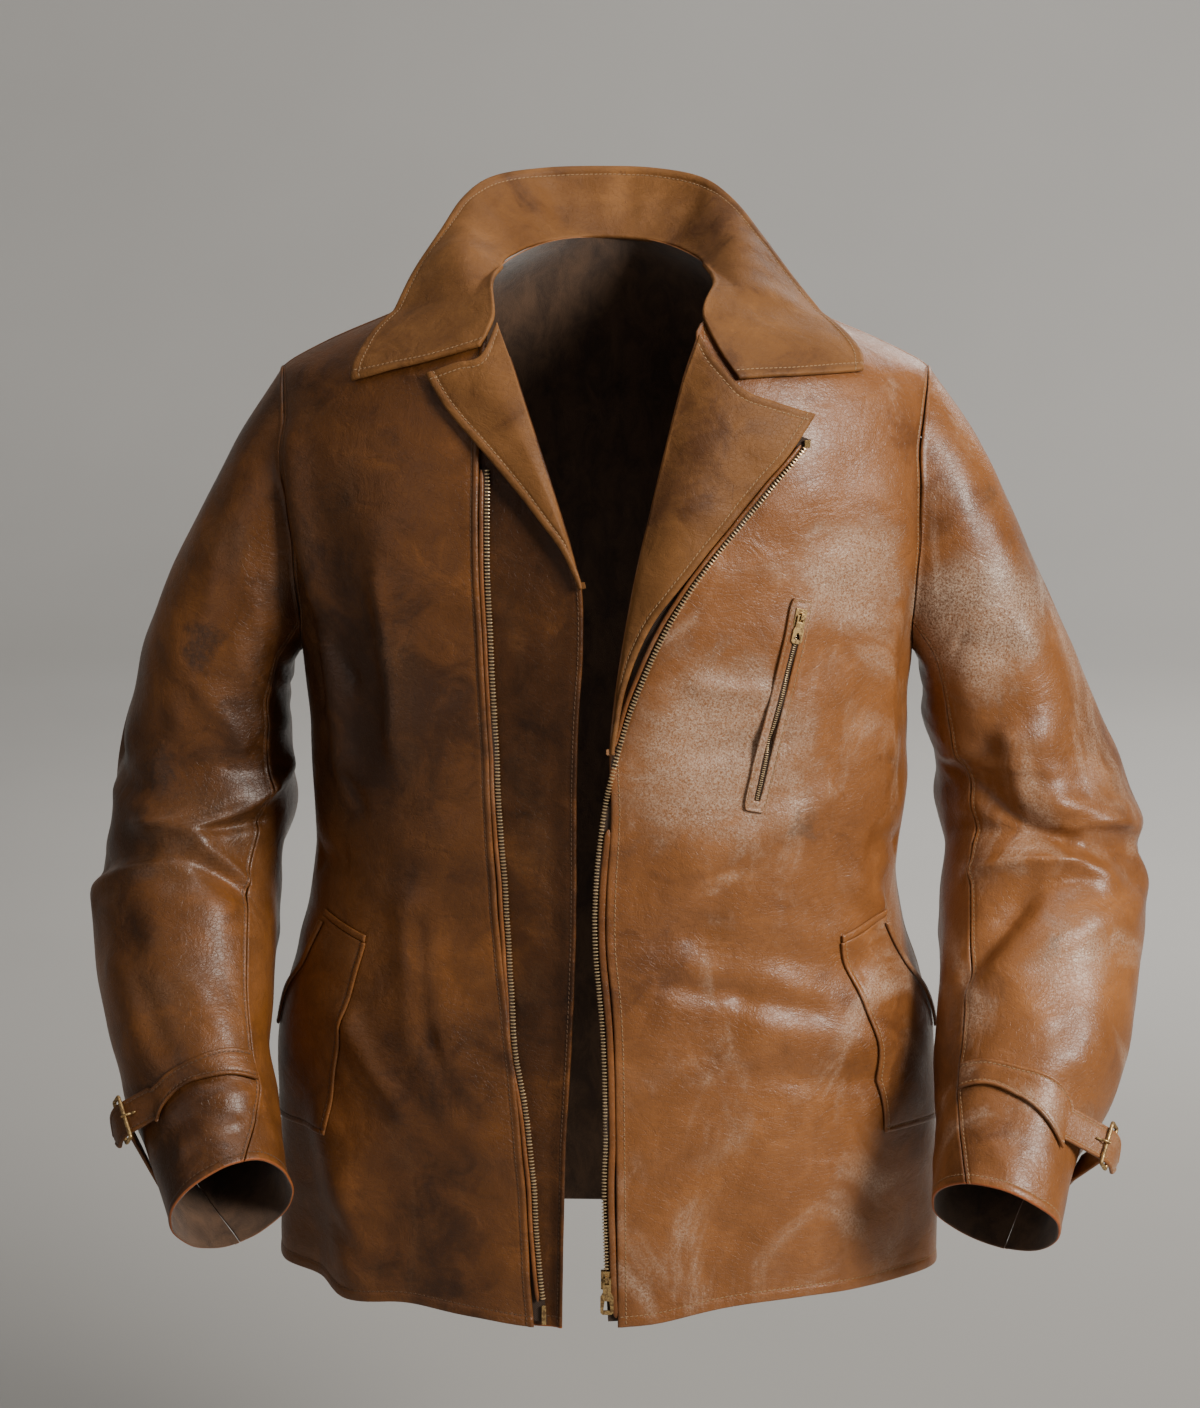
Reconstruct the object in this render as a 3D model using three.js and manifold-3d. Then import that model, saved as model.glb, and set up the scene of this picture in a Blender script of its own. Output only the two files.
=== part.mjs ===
// Worn leather coat: hip length, worn open, with its collar turned up at the back of the neck.
// Millimetres. +X is the wearer's left, the front faces -Y and +Z is up.
// The origin is the middle of the neck opening, level with the neck ends of the shoulder seams.
// Each leather piece is a wall: a face worked out from the sizes below, and the same face
// moved in by the leather's thickness. Left and right are the wearer's.

import * as THREE from "three";
import { mergeVertices } from "three/addons/utils/BufferGeometryUtils.js";
import Module from "manifold-3d";

const wasm = await Module();
wasm.setup();

// Leather and tape, in thickness
const SHELL = 2;
const TURNED = 3;
const PATCH = 1.6;
const STRAP = 2.4;
const TAPE = 1;
const GAP = 0.3;
const LAYER = 0.8;

// Body rings: height, half width on the right, half width on the left, depth in front,
// depth behind, squareness across, squareness in depth, y of the shoulder ridge
const BODY = [
  [-735, 236, 244, 144, 122, 2.25, 2.25, 0],
  [-620, 234, 240, 140, 114, 2.3, 2.3, 0],
  [-530, 232, 234, 137, 106, 2.35, 2.35, 0],
  [-440, 210, 210, 134, 102, 2.35, 2.35, 0],
  [-360, 209, 217, 134, 106, 2.35, 2.35, 0],
  [-265, 214, 218, 134, 114, 2.3, 2.3, 1],
  [-165, 236, 236, 130, 118, 2.2, 2.15, 3],
  [-110, 236, 236, 123, 114, 2.15, 1.9, 4],
  [-70, 226, 228, 114, 106, 2.1, 1.65, 6],
  [-52, 197, 197, 108, 100, 2.1, 1.55, 7],
  [-32, 150, 150, 100, 93, 2.1, 1.5, 8],
  [-14, 108, 108, 88, 84, 2.1, 1.45, 9],
  [0, 76, 76, 74, 74, 2.1, 1.45, 10],
  [8, 66, 66, 62, 66, 2.1, 1.45, 10],
];
const MIDDLE = 3;
const NAPE_RISE = 13;
const NAPE_FOOT = -90;
const HEM = -720;
const HEM_FADE = 300;

// Hem: angle round the body in degrees, how far the hem is above its level, how far it stands out
const HEM_LINE = [
  [-180, 10, 0],
  [-164, 9, 5],
  [-150, 8, -3],
  [-138, 1, 5],
  [-125, 4, -3],
  [-110, 0, 2],
  [-97, -7, 0],
  [-85, -4, 0],
  [-72, 7, 0],
  [-55, 11, 4],
  [-38, 8, -2],
  [-18, 5, 3],
  [0, -2, 0],
  [28, -6, -5],
  [50, -2, 4],
  [75, -4, -4],
  [100, -6, 4],
  [125, -3, -4],
  [150, 2, 3],
  [180, 10, 0],
];

// Front edges, as height and x: roll line above, leather edge below
const EDGE_LEFT = [
  [-735, 12.5],
  [-632, 11.5],
  [-525, 10],
  [-489, 8],
  [-454, 4.5],
  [-419, 4.5],
  [-360, 7.5],
  [-330, 6.5],
  [-306, 7],
  [-265, 12],
  [-224, 19],
  [-184, 27],
  [-131, 40],
  [-79, 54],
  [-36, 66],
];
const EDGE_RIGHT = [
  [-735, -27],
  [-604, -24],
  [-546, -21],
  [-489, -18],
  [-419, -16],
  [-348, -16],
  [-293, -14],
  [-245, -11],
  [-204, -12],
  [-184, -17],
  [-150, -27],
  [-111, -40],
  [-60, -57],
  [-28, -70],
];
const ROLL_TOP_LEFT = -36;
const ROLL_TOP_RIGHT = -28;
// Right front panel's edge at the zip, and the zip teeth, as height and x
const ZIP_PANEL_RIGHT = [
  [-735, -45],
  [-681, -49],
  [-618, -52],
  [-561, -57],
  [-489, -65],
  [-418, -71],
  [-324, -76],
  [-182, -82],
  [-120, -82],
  [-28, -76],
];
const TEETH_RIGHT = [
  [-735, -37],
  [-719, -38],
  [-660, -44],
  [-611, -46.5],
  [-564, -52],
  [-525, -59],
  [-418, -65],
  [-344, -70],
  [-203, -76],
  [-120, -77],
];
// Left zip teeth: down the lapel's edge, then down the front edge
const TEETH_LEFT = [
  [-720, 7],
  [-694, 5],
  [-659, 4],
  [-623, 3],
  [-587, 4],
  [-525, 2.5],
  [-489, 0],
  [-454, -3],
  [-419, -3],
  [-372, 1],
  [-341, 6],
  [-303, 17],
  [-272, 28],
  [-238, 42],
  [-205, 60],
  [-180, 79],
  [-143, 111],
  [-107, 141],
];
// The left front turns in beside its roll line: how far, over what width, and between which heights
const CURL = { depth: 9, width: 17, foot: -340, full: -280, fade: -70 };

// Body folds: ends as angle and height, width and height of the soft ridge (a trough below zero)
const BODY_FOLDS = [
  { from: [-153, -120], to: [-148, -330], width: 20, rise: 7 },
  { from: [-157, -150], to: [-154, -290], width: 9, rise: -3 },
  { from: [-128, -180], to: [-127, -300], width: 26, rise: 4 },
  { from: [-126, -440], to: [-108, -590], width: 20, rise: 5 },
  { from: [-146, -600], to: [-130, -715], width: 22, rise: 5 },
  { from: [-76, -395], to: [-50, -355], width: 14, rise: 4 },
  { from: [-74, -452], to: [-38, -480], width: 15, rise: -4 },
  { from: [-66, -520], to: [-36, -535], width: 16, rise: 4 },
  { from: [-30, -170], to: [-26, -330], width: 24, rise: 4 },
  { from: [20, -260], to: [60, -330], width: 18, rise: 5 },
  { from: [160, -260], to: [122, -330], width: 18, rise: 5 },
  { from: [70, -420], to: [110, -440], width: 20, rise: -4 },
];
const FOLD_RADIUS = 220;

// Armhole: an oval seen from the side
const ARMHOLE = { height: -168, rise: 100, reach: 55, clear: 0.9 };

// Sleeves: stations down the arm with the outer and inner points of each ring (x, z),
// their y, and half the ring's depth
const SLEEVES = {
  left: {
    side: 1,
    stations: [
      [0, 229, -68, 221, -268, 5, 55],
      [1, 264, -115, 228, -281, 4, 60],
      [2, 290, -167, 230, -293, 5, 64],
      [3, 320, -234, 231, -307, 7, 66],
      [4, 349, -295, 234, -328, 10, 68],
      [5, 372, -347, 241, -353, 14, 70],
      [6, 387, -403, 246, -399, 8, 73],
      [7, 390, -447, 246, -445, -10, 73],
      [8, 385, -492, 241, -487, -42, 70],
      [9, 375, -537, 238, -537, -77, 66],
      [10, 358, -572, 234, -574, -108, 60],
      [11, 333, -601, 233, -594, -135, 52],
      [12, 313, -655, 231, -617, -168, 48],
    ],
  },
  right: {
    side: -1,
    stations: [
      [0, -223, -72, -211, -268, 5, 55],
      [1, -253, -115, -218, -280, 4, 60],
      [2, -283, -173, -220, -292, 5, 64],
      [3, -313, -236, -222, -305, 7, 66],
      [4, -331, -291, -221, -325, 10, 68],
      [5, -347, -347, -222, -352, 14, 70],
      [6, -353, -403, -224, -397, 8, 72],
      [7, -360, -447, -231, -445, -14, 71],
      [8, -358, -490, -231, -485, -48, 67],
      [9, -345, -533, -232, -533, -80, 64],
      [10, -331, -572, -224, -572, -108, 60],
      [11, -312, -605, -221, -589, -135, 52],
      [12, -286, -654, -219, -599, -168, 48],
    ],
  },
};
const SLEEVE_SQUARE = 2.2;
const SEAM_FRONT = 139;
const SEAM_BACK = -60;
const SEAM_MARGIN = 0.35;
const STATION = 50;
const LAST_STATION = 12;
const SLEEVE_RADIUS = 62;

// Sleeve folds: ends as station and angle, width and height of the soft ridge
const SLEEVE_FOLDS = {
  left: [
    { from: [4.2, 84], to: [5.5, 87], width: 16, rise: 5 },
    { from: [5.6, 84], to: [5.9, 10], width: 15, rise: 6 },
    { from: [6.5, 60], to: [6.3, 15], width: 14, rise: -5 },
    { from: [5.0, 125], to: [5.4, 160], width: 14, rise: -6 },
    { from: [6.9, 120], to: [7.1, 60], width: 14, rise: 4 },
    { from: [7.8, 118], to: [7.3, 80], width: 13, rise: -5 },
    { from: [5.6, 200], to: [6.4, 290], width: 18, rise: 5 },
    { from: [6.4, 190], to: [7.0, 260], width: 14, rise: -5 },
  ],
  right: [
    { from: [5.1, 165], to: [6.0, 70], width: 16, rise: 6 },
    { from: [6.0, 70], to: [6.5, 100], width: 14, rise: 5 },
    { from: [7.0, 15], to: [7.0, 95], width: 15, rise: 6 },
    { from: [6.6, 15], to: [6.7, 70], width: 13, rise: -5 },
    { from: [4.9, 5], to: [5.3, 45], width: 14, rise: -5 },
    { from: [10.6, 125], to: [10.9, 65], width: 12, rise: 2.5 },
    { from: [5.6, 200], to: [6.4, 290], width: 18, rise: 5 },
    { from: [6.4, 190], to: [7.0, 260], width: 14, rise: -5 },
  ],
};

// Collar: place along it (-1 the right point, 0 the middle of the back, 1 the left point),
// then the seam, the roll and the outer edge, each as x, y, z
const COLLAR = [
  [-1, -80, -84, -47, -122, -78, -60, -165, -60, -75],
  [-0.94, -74, -78, -38, -110, -72, -46, -163, -50, -67],
  [-0.88, -70, -68, -27, -94, -56, -25, -156, -32, -50],
  [-0.78, -71, -32, -12, -96, -26, -5, -145, -11, -30],
  [-0.66, -69, -2, -1, -97, 0, 12, -132, 15, -4],
  [-0.54, -66, 20, 5, -92, 26, 24, -113, 45, 24],
  [-0.42, -59, 39, 8, -82, 54, 32, -98, 72, 45],
  [-0.3, -47, 57, 12, -64, 80, 37, -78, 92, 58],
  [-0.15, -26, 73, 15, -34, 98, 39, -42, 111, 63],
  [0, 0, 79, 16, 0, 104, 40, 0, 117, 64],
  [0.15, 26, 73, 15, 34, 98, 39, 40, 111, 63],
  [0.3, 50, 57, 12, 64, 80, 36, 75, 92, 57],
  [0.42, 63, 38, 8, 82, 54, 30, 97, 72, 42],
  [0.54, 70, 20, 5, 94, 26, 21, 117, 45, 18],
  [0.66, 73, -2, -1, 99, 0, 10, 137, 15, -8],
  [0.78, 74, -34, -14, 102, -28, -7, 158, -10, -33],
  [0.88, 67, -70, -30, 104, -56, -26, 172, -30, -50],
  [0.94, 80, -86, -50, 120, -74, -48, 178, -42, -59],
  [1, 93, -96, -67, 136, -82, -66, 177, -56, -68],
];
const COLLAR_LIFT = TURNED + 1.4;
const COLLAR_ROLL = 0.42;
const COLLAR_FRONT = { from: 0.6, to: 0.8 };
const LIFT_ROUNDS = 4;

// Lapels: the notch end of the seam with the collar, the lapel's point, then its outer edge
const LAPEL_LEFT = {
  gorge: [93, -72],
  middle: [118, -83],
  point: [143, -92],
  edge: [
    [0, 143, -96],
    [0.12, 121, -125],
    [0.26, 97, -152],
    [0.38, 78, -173],
    [0.5, 61, -194],
    [0.62, 45, -216],
    [0.74, 31, -243],
    [0.86, 20, -274],
    [1, 10.5, -318],
  ],
  lift: [
    [0, 5.2],
    [0.25, 7.8],
    [0.6, 8.5],
    [1, 7.6],
  ],
};
const LAPEL_RIGHT = {
  gorge: [-79, -52],
  middle: [-97, -58],
  point: [-117, -65],
  edge: [
    [0, -117, -69],
    [0.15, -102, -90],
    [0.35, -72, -121],
    [0.55, -47, -150],
    [0.78, -27, -177],
    [1, -14.5, -203],
  ],
  lift: [
    [0, 2.2],
    [0.3, 6],
    [1, 5.2],
  ],
};

// Hand pockets, as angle in degrees from the side seam and height
const POCKET = {
  inner: [
    [0, 42.4, -460],
    [0.5, 39.5, -545],
    [1, 36.8, -603],
  ],
  outer: [
    [0, 23.5, -449],
    [0.25, 17.5, -486],
    [0.45, 8.5, -516],
    [0.7, 4, -560],
    [1, 3, -610],
  ],
  welt: 8,
  bar: 5,
};

// Chest pocket, as x and height of its two ends
const CHEST = { top: [137.5, -213], bottom: [105, -359], half: 8, slot: 2.2, corner: 3 };

// Cuff straps: centre line as station and angle, then the free end past the buckle
const STRAP_LIFT = STRAP + LAYER + 0.6;
const CUFF = {
  paths: {
    left: [
      [0, 10.08, 135],
      [0.3, 10.14, 115],
      [0.6, 10.4, 92],
      [0.85, 10.72, 67],
      [1, 10.93, 52],
    ],
    right: [
      [0, 9.8, 135],
      [0.3, 9.85, 112],
      [0.6, 10.08, 89],
      [0.85, 10.4, 66],
      [1, 10.62, 53],
    ],
  },
  width: 24,
  buckleAt: { left: 35, right: 25 },
  tail: 27,
  away: [0.8, 0.2, -0.5],
  fall: [0.1, 0.5, -0.86],
  stationLength: 39,
  knee: 9,
};

// Tab behind the buckle: its station, half width, the angles that it lies along, and its depth at the bar
const TAB = { station: 11.1, half: 9, from: -58, to: -6, under: 2 * STRAP + 3.2 };

/** Rows in rising order of their first value. */
const rising = (rows) => rows.toSorted((a, b) => a[0] - b[0]);
const degrees = (angle) => (angle * Math.PI) / 180;
const mix = (a, b, t) => a + (b - a) * t;
/** Signed value raised to 2 / n, the form of a superellipse. */
const power = (value, n) => Math.sign(value) * Math.abs(value) ** (2 / n);
/** 0 before `from`, 1 after `to`, and a smooth step between. */
const step = (value, from, to) => THREE.MathUtils.smoothstep((value - from) / (to - from), 0, 1);

/** Values at x on the smooth curve through rows [x, value, ...] in rising order of x. */
function curve(rows, x) {
  const last = rows.length - 1;
  let i = 0;
  while (i < last - 1 && x >= rows[i + 1][0]) {
    i += 1;
  }
  const gap = rows[i + 1][0] - rows[i][0];
  const t = THREE.MathUtils.clamp((x - rows[i][0]) / gap, 0, 1);
  const slope = (j, k) => {
    const before = rows[Math.max(j - 1, 0)];
    const after = rows[Math.min(j + 1, last)];
    return (after[k] - before[k]) / (after[0] - before[0]);
  };
  const t2 = t * t;
  const t3 = t2 * t;
  const values = [];
  for (let k = 1; k < rows[0].length; k += 1) {
    const start = (2 * t3 - 3 * t2 + 1) * rows[i][k] + (t3 - 2 * t2 + t) * gap * slope(i, k);
    const end = (3 * t2 - 2 * t3) * rows[i + 1][k] + (t3 - t2) * gap * slope(i + 1, k);
    values.push(start + end);
  }
  return values;
}

/** Height of soft ridges at (along, around), each a bell across the line between its ends. */
function foldHeight(folds, along, around, alongScale, aroundScale) {
  let total = 0;
  for (const fold of folds) {
    const ax = fold.from[0] * alongScale;
    const ay = fold.from[1] * aroundScale;
    const bx = fold.to[0] * alongScale - ax;
    const by = fold.to[1] * aroundScale - ay;
    const px = along * alongScale - ax;
    const py = around * aroundScale - ay;
    const t = THREE.MathUtils.clamp((px * bx + py * by) / (bx * bx + by * by), 0, 1);
    const distance = Math.hypot(px - t * bx, py - t * by);
    total += fold.rise * Math.exp(-((distance / fold.width) ** 2));
  }
  return total;
}

/** Unit normal of a face(u, v) by central differences. */
function slopeNormal(face, u, v, du, dv) {
  const a = face(u + du, v).sub(face(u - du, v));
  const b = face(u, v + dv).sub(face(u, v - dv));
  return a.cross(b).normalize();
}

/** Point of the body's skin at an angle (0 at +X, -90 degrees in front) and a level. */
function skin(angle, level) {
  const [right, left, front, back, across, deep, ridge] = curve(BODY, level);
  const c = Math.cos(angle);
  const s = Math.sin(angle);
  const x = MIDDLE + (c > 0 ? left : right) * power(c, across);
  const y = ridge + (s < 0 ? front : back) * power(s, deep);
  const turn = ((((angle + Math.PI) % (2 * Math.PI)) + 2 * Math.PI) % (2 * Math.PI)) - Math.PI;
  const [hemRise, hemOut] = curve(HEM_LINE, THREE.MathUtils.radToDeg(turn));
  const low = THREE.MathUtils.clamp((HEM + HEM_FADE - level) / HEM_FADE, 0, 1) ** 2;
  const high = step(level, NAPE_FOOT, 0);
  const nape = NAPE_RISE * Math.max(s, 0) ** 2 * high;
  const z = level + nape + hemRise * low;
  const fold = foldHeight(BODY_FOLDS, THREE.MathUtils.radToDeg(turn), level, degrees(FOLD_RADIUS), 1);
  const out = fold + hemOut * low - curl(x, s, level);
  return new THREE.Vector3(x + out * c, y + out * s, z);
}

/** How far the left front turns in beside its soft roll line. */
function curl(x, s, level) {
  if (s > 0 || level > ROLL_TOP_LEFT || level < CURL.foot) {
    return 0;
  }
  const window = step(level, CURL.foot, CURL.full) * (1 - step(level, CURL.fade, ROLL_TOP_LEFT));
  const [edge] = curve(EDGE_LEFT, level);
  return CURL.depth * window * Math.exp(-(((x - edge) / CURL.width) ** 2));
}

/** Outward normal of the body's skin. */
const skinNormal = (angle, level) => slopeNormal(skin, angle, level, 0.02, 1);

/** Angle of the body's front at a given x and level. */
function frontAngle(x, level) {
  const [right, left, , , across] = curve(BODY, level);
  const part = THREE.MathUtils.clamp((x - MIDDLE) / (x > MIDDLE ? left : right), -1, 1);
  return -Math.acos(Math.sign(part) * Math.abs(part) ** (across / 2));
}

/** Angle of the body's side at a given y and level; side is 1 at +X and -1 at -X. */
function sideAngle(y, level, side) {
  const [, , front, back, , deep, ridge] = curve(BODY, level);
  const part = (y - ridge) / (y < ridge ? front : back);
  const angle = Math.sign(part) * Math.asin(Math.min(Math.abs(part), 1) ** (deep / 2));
  return side > 0 ? angle : Math.PI - angle;
}

/** Point above the body's front at x and a level. */
function onFront(x, level, lift) {
  const angle = frontAngle(x, level);
  return skin(angle, level).addScaledVector(skinNormal(angle, level), lift);
}

/** Moves a point out from the body until it clears the skin by a gap. */
function liftOff(point, gap) {
  for (let round = 0; round < LIFT_ROUNDS; round += 1) {
    const level = THREE.MathUtils.clamp(point.z, HEM, 0);
    const [right, left, front, back, across, deep, ridge] = curve(BODY, level);
    const c = (point.x - MIDDLE) / (point.x > MIDDLE ? left : right);
    const s = (point.y - ridge) / (point.y < ridge ? front : back);
    const sine = Math.sign(s) * Math.abs(s) ** (deep / 2);
    const cosine = Math.sign(c) * Math.abs(c) ** (across / 2);
    const angle = Math.atan2(sine, cosine);
    const normal = skinNormal(angle, level);
    const height = point.clone().sub(skin(angle, level)).dot(normal);
    if (height < gap) {
      point.addScaledVector(normal, gap - height);
    }
  }
  return point;
}

/** Evenly spaced values from a to b. */
const steps = (a, b, count) => Array.from({ length: count + 1 }, (_, i) => mix(a, b, i / count));

/** Indexed geometry with its faces turned outwards. */
function solid(points, faces) {
  const a = new THREE.Vector3();
  let volume = 0;
  for (const [i, j, k] of faces) {
    volume += points[i].dot(a.copy(points[j]).cross(points[k]));
  }
  const index = volume > 0 ? faces.flat() : faces.flatMap(([i, j, k]) => [i, k, j]);
  const geometry = new THREE.BufferGeometry();
  geometry.setAttribute("position", new THREE.Float32BufferAttribute(points.flatMap((p) => [p.x, p.y, p.z]), 3));
  geometry.setIndex(index);
  geometry.computeVertexNormals();
  return geometry;
}

/**
 * Closed wall between face(u, v) and the same face moved back by a thickness.
 * us and vs are the values it is worked out at; a loop joins its last column to its first.
 */
function wall({ face, us, vs, thickness, normal, loop = false }) {
  const points = [];
  const back = [];
  for (const v of vs) {
    for (const u of us) {
      const point = face(u, v);
      points.push(point);
      back.push(point.clone().addScaledVector(normal(u, v), -thickness));
    }
  }
  const count = points.length;
  points.push(...back);
  const width = us.length;
  const height = vs.length;
  const faces = [];
  const quad = (a, b, c, d) => faces.push([a, b, c], [a, c, d]);
  const columns = loop ? width : width - 1;
  for (let j = 0; j + 1 < height; j += 1) {
    for (let i = 0; i < columns; i += 1) {
      const a = j * width + i;
      const b = j * width + ((i + 1) % width);
      quad(a, b, b + width, a + width);
      quad(count + a, count + a + width, count + b + width, count + b);
    }
  }
  for (let i = 0; i < columns; i += 1) {
    const next = (i + 1) % width;
    const top = (height - 1) * width;
    quad(next, i, count + i, count + next);
    quad(top + i, top + next, count + top + next, count + top + i);
  }
  if (!loop) {
    for (let j = 0; j + 1 < height; j += 1) {
      const a = j * width;
      const b = a + width - 1;
      quad(a, a + width, count + a + width, count + a);
      quad(b + width, b, count + b, count + b + width);
    }
  }
  return solid(points, faces);
}

const coat = new THREE.Group();
const LOOKS = {
  tan: { color: 0x8a5230, roughness: 0.5, metalness: 0 },
  brown: { color: 0x5e3319, roughness: 0.55, metalness: 0 },
  facing: { color: 0x6f4527, roughness: 0.7, metalness: 0 },
  tape: { color: 0x2c2118, roughness: 0.9, metalness: 0 },
  brass: { color: 0xb08a3e, roughness: 0.35, metalness: 1 },
};

/** Adds one named piece to a group. */
function add(name, geometry, look, group = coat) {
  const mesh = new THREE.Mesh(geometry, new THREE.MeshStandardMaterial(LOOKS[look]));
  mesh.name = name;
  group.add(mesh);
  return mesh;
}

/** Level and body angle of the armhole's front or back edge, at a turn from 0 at its top to pi at its bottom. */
function armholePoint(turn, side, backward) {
  const level = ARMHOLE.height + ARMHOLE.rise * Math.cos(turn);
  const [, , , , , , ridge] = curve(BODY, level);
  const reach = ARMHOLE.reach * Math.sin(turn);
  const y = ridge + (backward ? reach : -reach);
  return { level, angle: sideAngle(y, level, side) };
}

const SHOULDER_ROWS = [-1.5, -8, -16, -26, -36, -46, -57];
const ARMHOLE_TURNS = steps(0, Math.PI, 10);
const LOWER_ROWS = [-296, -326, -356, -388, -422, -458, -494, -530, -570, -610, -650, -688, HEM];

/** Rows of a body panel from its top down, each with its level and its angle at the side. */
function sideRows(side, backward, top) {
  const rows = [];
  const seam = (level) => {
    const [, , front, back, , deep] = curve(BODY, level);
    const reach = (GAP / (backward ? back : front)) ** (deep / 2);
    const angle = Math.asin(reach) * (backward ? 1 : -1);
    return side > 0 ? angle : Math.PI - angle;
  };
  for (const level of SHOULDER_ROWS.filter((z) => z <= top)) {
    rows.push({ level, angle: seam(level), seam: true });
  }
  for (const turn of ARMHOLE_TURNS) {
    const edge = armholePoint(turn, side, backward);
    const end = turn === 0 || turn === Math.PI;
    rows.push(end ? { level: edge.level, angle: seam(edge.level), seam: true } : { ...edge, seam: false });
  }
  for (const level of LOWER_ROWS) {
    rows.push({ level, angle: seam(level), seam: true });
  }
  return rows;
}

/** Body normal with its y taken out at a side or shoulder seam, so both panels end square. */
function seamNormal(angle, level, square) {
  const normal = skinNormal(angle, level);
  return square ? normal.setY(0).normalize() : normal;
}

/** Same angle, brought within half a turn of another. */
const near = (angle, other) => angle - 2 * Math.PI * Math.round((angle - other) / (2 * Math.PI));

/** A front panel from its inner edge, given as x at each level, to the side. */
function frontPanel(side, innerX) {
  const rows = sideRows(side, false, 0);
  const top = side > 0 ? ROLL_TOP_LEFT : ROLL_TOP_RIGHT;
  const spans = rows.map(({ level, angle, seam }) => {
    const outer = near(angle, -Math.PI / 2);
    const open = frontAngle(innerX(Math.min(level, top)), Math.min(level, top));
    const neck = mix(mix(outer, open, 0.1), open, step(level, 0, top) ** 0.7);
    return { level, seam, inner: level > top ? neck : open, outer };
  });
  const angleAt = (u, row) => mix(row.inner, row.outer, u);
  return wall({
    face: (u, j) => skin(angleAt(u, spans[j]), spans[j].level),
    normal: (u, j) => seamNormal(angleAt(u, spans[j]), spans[j].level, u === 1 && spans[j].seam),
    us: steps(0, 1, 12),
    vs: spans.map((_, j) => j),
    thickness: SHELL,
  });
}

const edgeLeft = (level) => curve(EDGE_LEFT, level)[0];
const edgeRight = (level) => curve(rising(EDGE_RIGHT), level)[0];
const zipPanelRight = (level) => curve(rising(ZIP_PANEL_RIGHT), level)[0];
const teethRight = (level) => curve(rising(TEETH_RIGHT), level)[0];
const teethLeft = (level) => curve(rising(TEETH_LEFT), level)[0];

/** The back, one panel from side to side under the collar. */
function backPanel() {
  const right = sideRows(-1, true, 0);
  const rows = sideRows(1, true, 0).map((row, j) => ({
    ...row,
    start: row.angle,
    end: near(right[j].angle, Math.PI / 2),
  }));
  rows[0].level = 0;
  return wall({
    face: (u, j) => skin(mix(rows[j].start, rows[j].end, u), rows[j].level),
    normal: (u, j) => {
      const square = rows[j].seam && (u === 0 || u === 1);
      return seamNormal(mix(rows[j].start, rows[j].end, u), rows[j].level, square);
    },
    us: steps(0, 1, 16),
    vs: rows.map((_, j) => j),
    thickness: SHELL,
  });
}

add("back", backPanel(), "tan");
add("front_left", frontPanel(1, edgeLeft), "tan");
add("front_right", frontPanel(-1, zipPanelRight), "brown");

/** A strip on the front between two lines x(level), lifted off the skin by lift(across). */
function frontStrip({ from, to, lift, levels, columns, thickness }) {
  const face = (u, level) => onFront(mix(from(level), to(level), u), level, lift(u));
  return wall({
    face,
    normal: (u, level) => slopeNormal(face, u, level, 0.05, 1),
    us: steps(0, 1, columns),
    vs: levels,
    thickness,
  });
}

const FLAP_LIFT = -(SHELL + TAPE + 2 * LAYER + GAP);
const FLAP_EDGE_LIFT = -1.5;
const FLAP_UNDER = 12;
const FLAP_TURN = 0.72;
add(
  "wind_flap_right",
  frontStrip({
    from: (level) => zipPanelRight(level) - FLAP_UNDER,
    to: edgeRight,
    lift: (u) => mix(FLAP_LIFT, FLAP_EDGE_LIFT, step(u, FLAP_TURN, 1)),
    levels: [-50, -70, -95, -120, -150, -180, -205, -235, -270, ...LOWER_ROWS.filter((z) => z < -300)],
    columns: 5,
    thickness: SHELL,
  }),
  "brown",
);

const TAPE_FACE = -(SHELL + LAYER + GAP);
const TAPE_TUCK = 7;
const TAPE_PAST_TEETH = 1;
const TAPE_ABOVE_HEM = 4;
add(
  "zip_tape_right",
  frontStrip({
    from: (level) => zipPanelRight(level) - TAPE_TUCK,
    to: (level) => teethRight(level) + TAPE_PAST_TEETH,
    lift: () => TAPE_FACE,
    levels: steps(-124, HEM + TAPE_ABOVE_HEM, 13),
    columns: 2,
    thickness: TAPE,
  }),
  "tape",
);
add(
  "zip_tape_left",
  frontStrip({
    from: (level) => teethLeft(level) - TAPE_PAST_TEETH,
    to: (level) => edgeLeft(level) + TAPE_TUCK,
    lift: () => TAPE_FACE,
    levels: steps(-354, HEM + TAPE_ABOVE_HEM, 12),
    columns: 2,
    thickness: TAPE,
  }),
  "tape",
);

/** Lapel face: u from its top to its foot, v from the roll line to the outer edge. */
function lapelFace(side, lapel) {
  const roll = side > 0 ? edgeLeft : edgeRight;
  const top = side > 0 ? ROLL_TOP_LEFT : ROLL_TOP_RIGHT;
  const foot = lapel.edge.at(-1)[2];
  const start = [roll(top - 2), top - 2];
  const gorgeAt = side > 0 ? 0.45 : 0.25;
  const line = rising([
    [0, ...start],
    [gorgeAt, ...lapel.gorge],
    [0.5 + gorgeAt / 2, ...lapel.middle],
    [1, ...lapel.point],
  ]);
  return (u, v) => {
    const level = mix(start[1], foot, u);
    const inner = [roll(level), level];
    const outer = curve(lapel.edge, u);
    const topPoint = curve(line, v);
    const point = [0, 1].map((k) => {
      const straight = mix(start[k], lapel.edge[0][k + 1], v);
      return mix(inner[k], outer[k], v) + (1 - u) ** 3 * (topPoint[k] - straight);
    });
    const [lift] = curve(lapel.lift, v);
    return onFront(point[0], point[1], lift);
  };
}

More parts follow.
